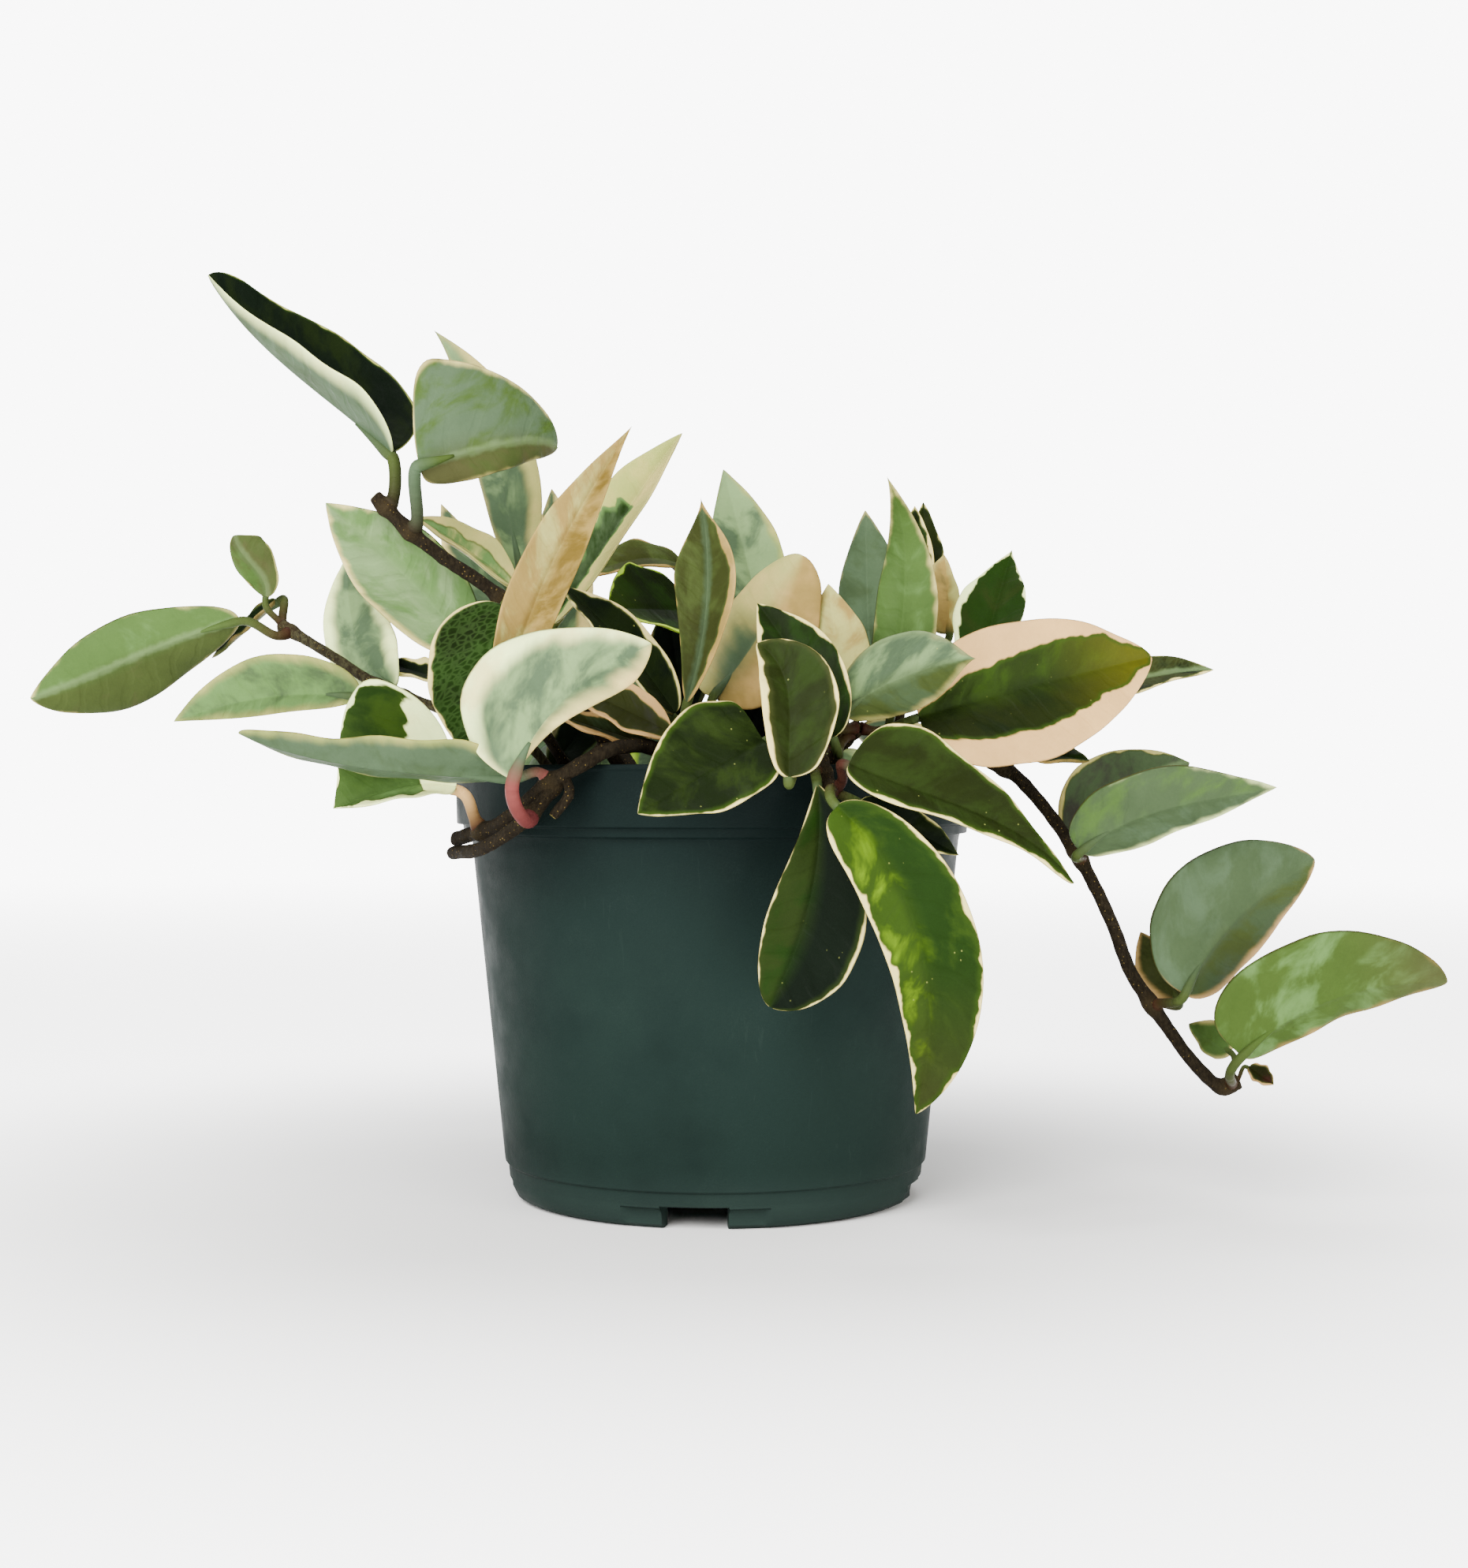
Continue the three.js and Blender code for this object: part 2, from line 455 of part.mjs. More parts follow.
    bend: [15, 15], tone: "pale" },
  { name: "leaf_back_left_2", stem: "stem_back_left", from: [-43, 66, 146],
    base: [-58, 76, 148], tip: [-84, 104, 102], face: [-0.5, 0.6, 0.6], width: 33,
    bend: [30, 15] },
  { name: "leaf_back_left_3", stem: "stem_back_left", from: [-48, 79, 144],
    base: [-44, 92, 143], tip: [-38, 110, 84], face: [0, 1, 0.3], width: 33,
    bend: [30, 10] },
  { name: "leaf_back_left_4", stem: "stem_back_left", from: [-40, 60, 145],
    base: [-54, 58, 166], tip: [-57, 56, 232], face: [0.1, 0.9, 0.3], width: 24,
    bend: [10, 10], tone: "pale" },
  { name: "leaf_back_right_1", stem: "stem_back_right", from: [38, 83, 143],
    base: [44, 94, 142], tip: [52, 110, 84], face: [0, 1, 0.3], width: 33,
    bend: [30, 10] },
  { name: "leaf_back_right_2", stem: "stem_back_right", from: [34, 66, 146],
    base: [50, 74, 150], tip: [84, 98, 122], face: [0.3, 0.6, 0.75], width: 30,
    bend: [25, 15], tone: "pale" },
  { name: "leaf_back_right_3", stem: "stem_back_right", from: [29, 47, 137],
    base: [24, 50, 158], tip: [14, 64, 214], face: [0, 0.9, 0.3], width: 27,
    bend: [10, 10] },
  { name: "leaf_back_right_4", stem: "stem_back_right", from: [31, 56, 142],
    base: [44, 56, 154], tip: [60, 68, 206], face: [0.3, 0.8, 0.3], width: 26,
    bend: [10, 10] },
  { name: "leaf_back_left_5", stem: "stem_back_left", joined: true, from: [-43, 66, 146],
    base: [-24, 78, 151], tip: [-10, 108, 101], face: [0.1, 1, 0.5], width: 32,
    bend: [30, 15] },
  { name: "leaf_back_left_6", stem: "stem_back_left", joined: true, from: [-33, 49, 140],
    base: [-24, 54, 148], tip: [-28, 68, 186], face: [0, 1, 0.3], width: 22,
    bend: [10, 10] },
  { name: "leaf_back_right_5", stem: "stem_back_right", joined: true, from: [34, 68, 146],
    base: [22, 84, 148], tip: [16, 110, 92], face: [-0.1, 1, 0.4], width: 30,
    bend: [30, 10] },
  { name: "leaf_back_right_6", stem: "stem_back_centre", joined: true, from: [6, 6, 148],
    base: [4, 26, 160], tip: [0, 50, 202], face: [0, 0.9, 0.4], width: 26,
    bend: [15, 10] },
];

function turnedTowards(direction, target, degrees) {
  const angle = THREE.MathUtils.degToRad(degrees);
  return direction.clone().multiplyScalar(Math.cos(angle)).addScaledVector(target, Math.sin(angle));
}

function squareTo(vector, axis) {
  return vector.clone().addScaledVector(axis, -vector.dot(axis)).normalize();
}

// How wide the blade is along its length: 0 at both ends and 1 at its widest.
function bladeWidth(t, widest, heel, point) {
  const shifted = Math.pow(t, Math.log(0.5) / Math.log(widest));
  return Math.pow(Math.sin(Math.PI * shifted), THREE.MathUtils.lerp(heel, point, t));
}

function midribOf({ base, tip, face, bend = [0, 0], sweep = [0, 0] }) {
  const start = new THREE.Vector3(...base);
  const end = new THREE.Vector3(...tip);
  const chord = end.clone().sub(start);
  const length = chord.length();
  chord.normalize();
  const up = squareTo(new THREE.Vector3(...face), chord);
  const side = new THREE.Vector3().crossVectors(chord, up);
  const leave = turnedTowards(turnedTowards(chord, up, bend[0]), side, sweep[0]).normalize();
  const arrive = turnedTowards(turnedTowards(chord, up, -bend[1]), side, -sweep[1]).normalize();
  const reach = BLADE_REACH * length;
  const curve = new THREE.CubicBezierCurve3(
    start,
    start.clone().addScaledVector(leave, reach),
    end.clone().addScaledVector(arrive, -reach),
    end,
  );
  return { curve, leave };
}

// A setting at v across the blade: one for the whole blade, or one for each half.
function ofHalf(value, v) {
  return Array.isArray(value) ? value[v < 0 ? 0 : 1] : value;
}

// The point of the blade's middle surface at t along the midrib and v across it, from -1 to 1.
function bladePoint(leaf, curve, t, v) {
  const { face, width, halves = 1, fold = 10, cup = 15 } = leaf;
  const { twist = 0, widest = 0.45, heel = 0.5, point: tipPoint = 0.9 } = leaf;
  const along = curve.getTangent(t);
  const up = squareTo(new THREE.Vector3(...face), along);
  up.applyAxisAngle(along, THREE.MathUtils.degToRad(twist) * (t - 0.5));
  const side = new THREE.Vector3().crossVectors(along, up);
  const share = bladeWidth(t, ofHalf(widest, v), ofHalf(heel, v), ofHalf(tipPoint, v));
  const half = (width / 2) * share * ofHalf(halves, v);
  const first = THREE.MathUtils.degToRad(ofHalf(fold, v));
  const turn = THREE.MathUtils.degToRad(Math.max(ofHalf(cup, v), 1));
  const across = Math.abs(v);
  const out = (half * (Math.sin(first + turn * across) - Math.sin(first))) / turn;
  const rise = (half * (Math.cos(first) - Math.cos(first + turn * across))) / turn;
  const point = curve.getPoint(t).addScaledVector(side, Math.sign(v) * out).addScaledVector(up, rise);
  return { point, up };
}

function makeBlade(leaf, curve) {
  const positions = [];
  const indices = [];
  const grid = [[], []];
  const half = BLADE_THICKNESS / 2;
  const push = (point) => positions.push(point.x, point.y, point.z) / 3 - 1;
  for (let row = 1; row < BLADE_ROWS; row++) {
    const t = 0.5 - 0.5 * Math.cos((Math.PI * row) / BLADE_ROWS);
    const above = [];
    const below = [];
    for (let column = 0; column <= BLADE_COLUMNS; column++) {
      const v = (2 * column) / BLADE_COLUMNS - 1;
      const { point, up } = bladePoint(leaf, curve, t, v);
      if (Math.abs(v) === 1) {
        above.push(push(point));
        below.push(above[above.length - 1]);
      } else {
        above.push(push(point.clone().addScaledVector(up, half)));
        below.push(push(point.clone().addScaledVector(up, -half)));
      }
    }
    grid[0].push(above);
    grid[1].push(below);
  }
  const ends = [push(curve.getPoint(0)), push(curve.getPoint(1))];
  grid.forEach((rows, face) => {
    const triangle = (a, b, c) => (face ? indices.push(a, c, b) : indices.push(a, b, c));
    for (let column = 0; column < BLADE_COLUMNS; column++) {
      triangle(ends[0], rows[0][column + 1], rows[0][column]);
      for (let row = 0; row + 1 < rows.length; row++) {
        const [a, b] = [rows[row][column], rows[row][column + 1]];
        const [c, d] = [rows[row + 1][column], rows[row + 1][column + 1]];
        triangle(a, b, c);
        triangle(b, d, c);
      }
      const last = rows[rows.length - 1];
      triangle(ends[1], last[column], last[column + 1]);
    }
  });
  const geometry = new THREE.BufferGeometry();
  geometry.setAttribute("position", new THREE.Float32BufferAttribute(positions, 3));
  geometry.setIndex(indices);
  return toManifold(geometry);
}

function nearestOn(stem, target) {
  let best = { distance: Infinity };
  for (const { curve, radius } of stem.curves) {
    for (let i = 0; i <= NEAREST_STEPS; i++) {
      const point = curve.getPoint(i / NEAREST_STEPS);
      const distance = point.distanceTo(target);
      if (distance < best.distance) {
        best = { distance, point, radius, along: curve.getTangent(i / NEAREST_STEPS) };
      }
    }
  }
  return best;
}

// The stalk leaves its stem square to it and runs into the blade along the midrib.
function makeStalk(leaf, stem, base, leave) {
  const { point, radius, along } = nearestOn(stem, new THREE.Vector3(...leaf.from));
  const out = leaf.out ? new THREE.Vector3(...leaf.out) : base.clone().sub(point);
  const away = leaf.joined ? out.normalize() : squareTo(out, along);
  const clear = leaf.joined ? 0 : radius + GAP;
  const start = point.clone().addScaledVector(away, clear);
  const reach = STALK_REACH * start.distanceTo(base);
  const curve = new THREE.CubicBezierCurve3(
    start,
    start.clone().addScaledVector(away, reach),
    base.clone().addScaledVector(leave, -reach),
    base.clone().addScaledVector(leave, STALK_RUN_IN),
  );
  return tube(curve, STALK_RADIUS, STALK_STEPS, STALK_SIDES);
}

function makeLeaf(leaf, stem) {
  const { curve, leave } = midribOf(leaf);
  const blade = makeBlade(leaf, curve);
  return blade.add(makeStalk(leaf, stem, curve.getPoint(0), leave));
}

// ---------------------------------------------------------------- assembly

const plant = new THREE.Group();
const stems = Object.entries(STEMS).map(([name, stem]) => makeStem(name, stem));
const stemNamed = Object.fromEntries(stems.map((stem) => [stem.name, stem]));

plant.add(toMesh("pot", makePot(), finish("pot", 0.55)));
plant.add(toMesh("potting_mix", makeSoil(stems), finish("soil", 0.95)));
for (const leaf of LEAVES) {
  const stem = stemNamed[leaf.stem];
  const solid = makeLeaf(leaf, stem);
  if (leaf.joined) {
    stem.solid = stem.solid.add(solid);
  } else {
    plant.add(toMesh(leaf.name, solid, finish(leaf.tone ?? "green", 0.5)));
  }
}
for (const stem of stems) {
  plant.add(toMesh(stem.name, stem.solid, finish("stem", 0.8)));
}

export default plant;
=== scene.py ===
import json
import math

import bpy
import numpy as np
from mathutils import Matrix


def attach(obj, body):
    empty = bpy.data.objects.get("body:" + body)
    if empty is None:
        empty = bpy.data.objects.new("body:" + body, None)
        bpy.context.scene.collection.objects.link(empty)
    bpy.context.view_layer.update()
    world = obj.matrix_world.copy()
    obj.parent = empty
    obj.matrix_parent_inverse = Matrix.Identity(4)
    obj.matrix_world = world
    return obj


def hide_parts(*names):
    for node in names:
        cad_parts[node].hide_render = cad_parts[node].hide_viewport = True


# A trailing hoya with variegated leaves, in a round nursery pot.
# Sizes and places are millimetres in the frame of the CAD model, and MM takes them to metres.

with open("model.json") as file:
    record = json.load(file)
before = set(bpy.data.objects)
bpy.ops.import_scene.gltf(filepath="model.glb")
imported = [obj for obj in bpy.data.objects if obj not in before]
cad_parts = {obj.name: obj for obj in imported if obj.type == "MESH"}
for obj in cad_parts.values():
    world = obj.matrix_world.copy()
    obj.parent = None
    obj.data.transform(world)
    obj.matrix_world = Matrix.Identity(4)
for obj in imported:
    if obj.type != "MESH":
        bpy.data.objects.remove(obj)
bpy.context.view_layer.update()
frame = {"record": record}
SLOTS = {part["node"]: part["material_slot"] for part in frame["record"]["subparts"]}

MM = 0.001

# ---- camera and light

PHOTO_HEIGHT = 1988
FOCAL_PIXELS = 2777
SENSOR = 36
EYE = (5.9, -700, 130)
LIGHT_LEVEL = 4.8
BACKGROUND = 9
FLOOR_NEAR = 3.6
AMBIENT = 0.35
FLOOR_HALF = 6000
AIM = (0, 0, 0.14)

# ---- pot and mix

POT_HEIGHT = 135.6
RIM_RADIUS = 82.8
RIM_BAND_BOTTOM = 117.3
STEP_BOTTOM = 114.4
BODY_TOP_RADIUS = 77.2
BODY_BOTTOM_RADIUS = 66.8
LEDGE_HEIGHT = 11.2
FOOT_RADIUS = 60.5
FOOT_WIDTH = 4
FLOOR_HEIGHT = 7
WALL = 1.6
POT_SIDES = 240
DRAIN_COUNT = 4
DRAIN_TURN = math.radians(-5)
DRAIN_SPACING = 2 * math.pi / DRAIN_COUNT
DRAIN_WIDTH = 19
DRAIN_HOLE = (9.5, 8)
DRAIN_HOLE_RADIUS = 50.5
RECESS_WIDTH = 40
RECESS_DEPTH = 2
# The heights of the moulded edges that get thin painted highlights, and how wide these are.
PAINTED_HIGHLIGHT_HEIGHTS = (LEDGE_HEIGHT + 0.4, STEP_BOTTOM + 0.3, RIM_BAND_BOTTOM + 0.3, POT_HEIGHT - 0.2)
PAINTED_HIGHLIGHT_WIDTH = 0.35

SOIL_TOP = 121.5
SOIL_EDGE_TOP = 119.5
SOIL_RADIUS = 76
SOIL_ROWS = 50
SOIL_SIDES = 180
CRUMBS = 2600
PERLITE_SHARE = 0.07
CRUMB_TONES = ((0.045, 0.028, 0.017), (0.09, 0.055, 0.03), (0.02, 0.013, 0.009), (0.16, 0.11, 0.065))
PERLITE = (0.62, 0.6, 0.55)
WET_MIX = (0.012, 0.008, 0.005, 1)

# ---- stems and leaves

ROOT_END = 106
ROOT_STRAIGHT = 116
CURVE_STEPS = 400
STEM_STEP = 0.8
STEM_SIDES = 20
KNOT_LENGTH = 2.6
KNOT_SWELL = 0.42

GAP = 0.3
STALK_RADIUS = 1.45
STALK_SIDES = 12
STALK_ROWS = 22
STALK_SUNK = 1.2
# A stalk ends in a fin that runs on under this share of its blade.
FIN_REACH = 0.2
FIN_ROWS = 7
BLADE_REACH = 0.36
BLADE_THICKNESS = 1.53
BLADE_ROWS = 44
END_TAPER = 0.3
SHORT_BLADE = 45
GROOVE_DEPTH = 0.45
GROOVE_WIDTH = 0.9
RIDGE_HEIGHT = 0.8
RIDGE_WIDTH = 1.1
RIPPLE = 0.7
HALF_BLEND = 2.5
ACROSS = (0, 0.03, 0.07, 0.14, 0.24, 0.36, 0.5, 0.63, 0.75, 0.85, 0.92, 0.97)
PATTERN_SHIFT = 37.0

# ---- colours

# Each colour as it shows in daylight; colour() turns it into the surface's own.
PALETTE = {
    "night": "0e150a", "deep": "131e0a", "dark": "22310f", "green": "31511f", "grass": "52702f",
    "fern": "3d5224", "olive": "2e3a16", "dusk": "565e33", "khaki": "7a7c54", "celery": "cacda2",
    "moss": "6f7e4c", "fresh": "7f9a63", "leaf": "70894c", "pale": "98b182", "sage": "81957a",
    "mist": "b0bfa0", "slate": "728665", "stone": "65675a", "lime": "9cb43c", "yellow": "cbdb8f",
    "gold": "84853b", "ochre": "9e8c50", "tan": "c2b588", "peach": "dacdb0", "beige": "cfceab",
    "cream": "e2dfc6", "ivory": "e6e9d8", "pink": "a86e6a", "rose": "874a4b", "rust": "5d372c",
    "bark": "4b4130", "shadow": "2b2318", "twig": "7d7a5e", "wood": "6f6042", "pot": "334943",
    "pot_deep_and_shade": "152020", "pot_dust_and_light": "5d706a",
}
# The curve from a shown colour back to its light: gain, power, shoulder and fall.
SHOWN_CURVE = (0.168, 1.091, 0.96, 1.531)
GREY_SHARES = (0.2126, 0.7152, 0.0722)

# The shaded and the lit colour of the bark.
BARK = {"vine_lower_left": ("bark", "twig")}
USUAL_BARK = ("shadow", "bark")

# ---- the plant

# Each path starts just above the mix, and the root below it is straight. A branch is a radius and a path.
STEMS = {
    "vine_upper_left": dict(radius=2.1, path=[
        (-26, -10, 126), (-34, -14, 142), (-47, -19, 162), (-67, -23, 188), (-84, -26, 200),
        (-94, -28, 208), (-104, -30, 218)]),
    "vine_lower_left": dict(radius=1.6, path=[
        (-48, -14, 126), (-56, -16, 140), (-72, -19, 150), (-90, -22, 155), (-107, -20, 162),
        (-118, -16, 169), (-137, -8, 180)]),
    "stub_front_left": dict(radius=2.2, path=[
        (-10, -44, 126), (-13, -54, 137), (-20, -66, 141), (-30, -76.5, 139.6), (-38, -80.5, 135),
        (-46, -79.5, 130.5), (-60, -70, 119.5), (-77, -46, 113.5)], branches=[
        (2, [(-43, -79, 132), (-52, -80.5, 121), (-65.5, -70, 112), (-78, -48, 109.5)]),
        (1.4, [(-42, -79, 132), (-40.5, -84, 127), (-45, -84, 121)])]),
    "vine_right": dict(radius=2, path=[
        (44, -8, 126), (54, -9, 140), (66, -11, 145), (79, -13, 142.5), (87, -15, 137),
        (94, -19, 132), (103, -24, 121), (112, -28, 107), (121.5, -30, 87.5), (127, -30, 73),
        (134, -30, 62), (148, -30, 43), (155, -30, 37.5), (160, -30, 39.5)]),
    "vine_front": dict(radius=2.2, path=[
        (16, -28, 126), (22, -48, 138), (26, -64, 143), (28, -76, 142), (30, -86, 135), (33, -90, 127)]),
    "stem_left": dict(radius=1.8, path=[(-40, -36, 126), (-47, -48, 140), (-54, -56, 151)]),
    "stem_centre": dict(radius=1.8, path=[(-4, -22, 126), (-6, -34, 139), (-7, -43, 147)]),
    "stem_back_centre": dict(radius=1.8, path=[(8, 8, 126), (6, 6, 150), (4, 4, 170), (-2, 8, 186)]),
    "stem_right_front": dict(radius=1.8, path=[(32, -18, 126), (37, -32, 140), (43, -42, 147)]),
    "stem_right_back": dict(radius=1.8, path=[(52, 12, 126), (57, 8, 145), (62, 8, 165), (68, 12, 180)]),
    "stem_back_left": dict(radius=1.9, path=[
        (-24, 30, 126), (-32, 48, 140), (-42, 64, 146), (-48, 80, 144)]),
    "stem_back_right": dict(radius=1.9, path=[
        (26, 34, 126), (30, 52, 140), (34, 68, 146), (38, 84, 143)]),
}

# A leaf's midrib runs from base to tip, and face is the way its upper side looks. root: the place on
# the stem that its stalk grows from. out: the way that the stalk leaves it. bend: degrees that the
# midrib starts above, and ends below, the straight line to the tip. sweep: the same to the side. fold:
# how far each half is raised at the midrib, and cup: how much further it turns by the margin. halves:
# the halves' widths, as a share of half the width. widest: the widest place, as a share of the length.
# heel and point: how pointed the base and tip are. joined: the CAD model has it in its stem's node.
# stem: the stem, where it isn't the one that the leaf's name starts with.
# top and under: the main colour and the colour of its patches, on that face. rim: how far out the
# green reaches. edge: the colour outside it. jag: how ragged their border is, in millimetres. patch:
# how much of the green is patches. halo: the colour of the green's outer band, and its width. span: the
# part of the length that has green. tip_tone: the colour that the blade turns to near its tip. soft:
# the border's blur above and below, in millimetres. net, specks, blush and stripe: the strength of the
# fine veins, the pale specks, the peach flush and the light line on the midrib. drift: how much wider
# the green gets by the tip, and narrower by the base. stalk: its colours by the stem and further on.
# girth: how thick it is, and reach: how far it keeps its first and last direction.
# From fold to point, and in rim, drift, edge and each colour of top and under, a pair is for the
# halves where v is below and above zero. One bend or sweep is for both ends.
USUAL_LEAF = dict(
    out=None, bend=0, sweep=0, fold=10, cup=15, halves=1, widest=0.45, heel=0.5, point=0.9,
    joined=False, top=("dark", "green"), under=("sage", "mist"), rim=0.9, edge="cream", jag=0.8,
    patch=0.4, halo=("moss", 0.8), span=(-1, 2), tip_tone=None, soft=(0.4, 2), net=0, specks=0,
    blush=0.25, stripe=0, stripe_tone="mist", drift=0, stalk=("rust", "moss"), girth=1, reach=0.42,
)
STEM_AT = {name.split("_", 1)[1]: name for name in STEMS}


def grow(name, root, base, tip, face, width, **settings):
    """A leaf's settings, with the usual ones where it has none of its own."""
    found = dict(name=name, root=root, base=base, tip=tip, face=face, width=width)
    found["stem"] = STEM_AT.get(name.rsplit("_", 1)[0])
    return {**USUAL_LEAF, **found, **settings}


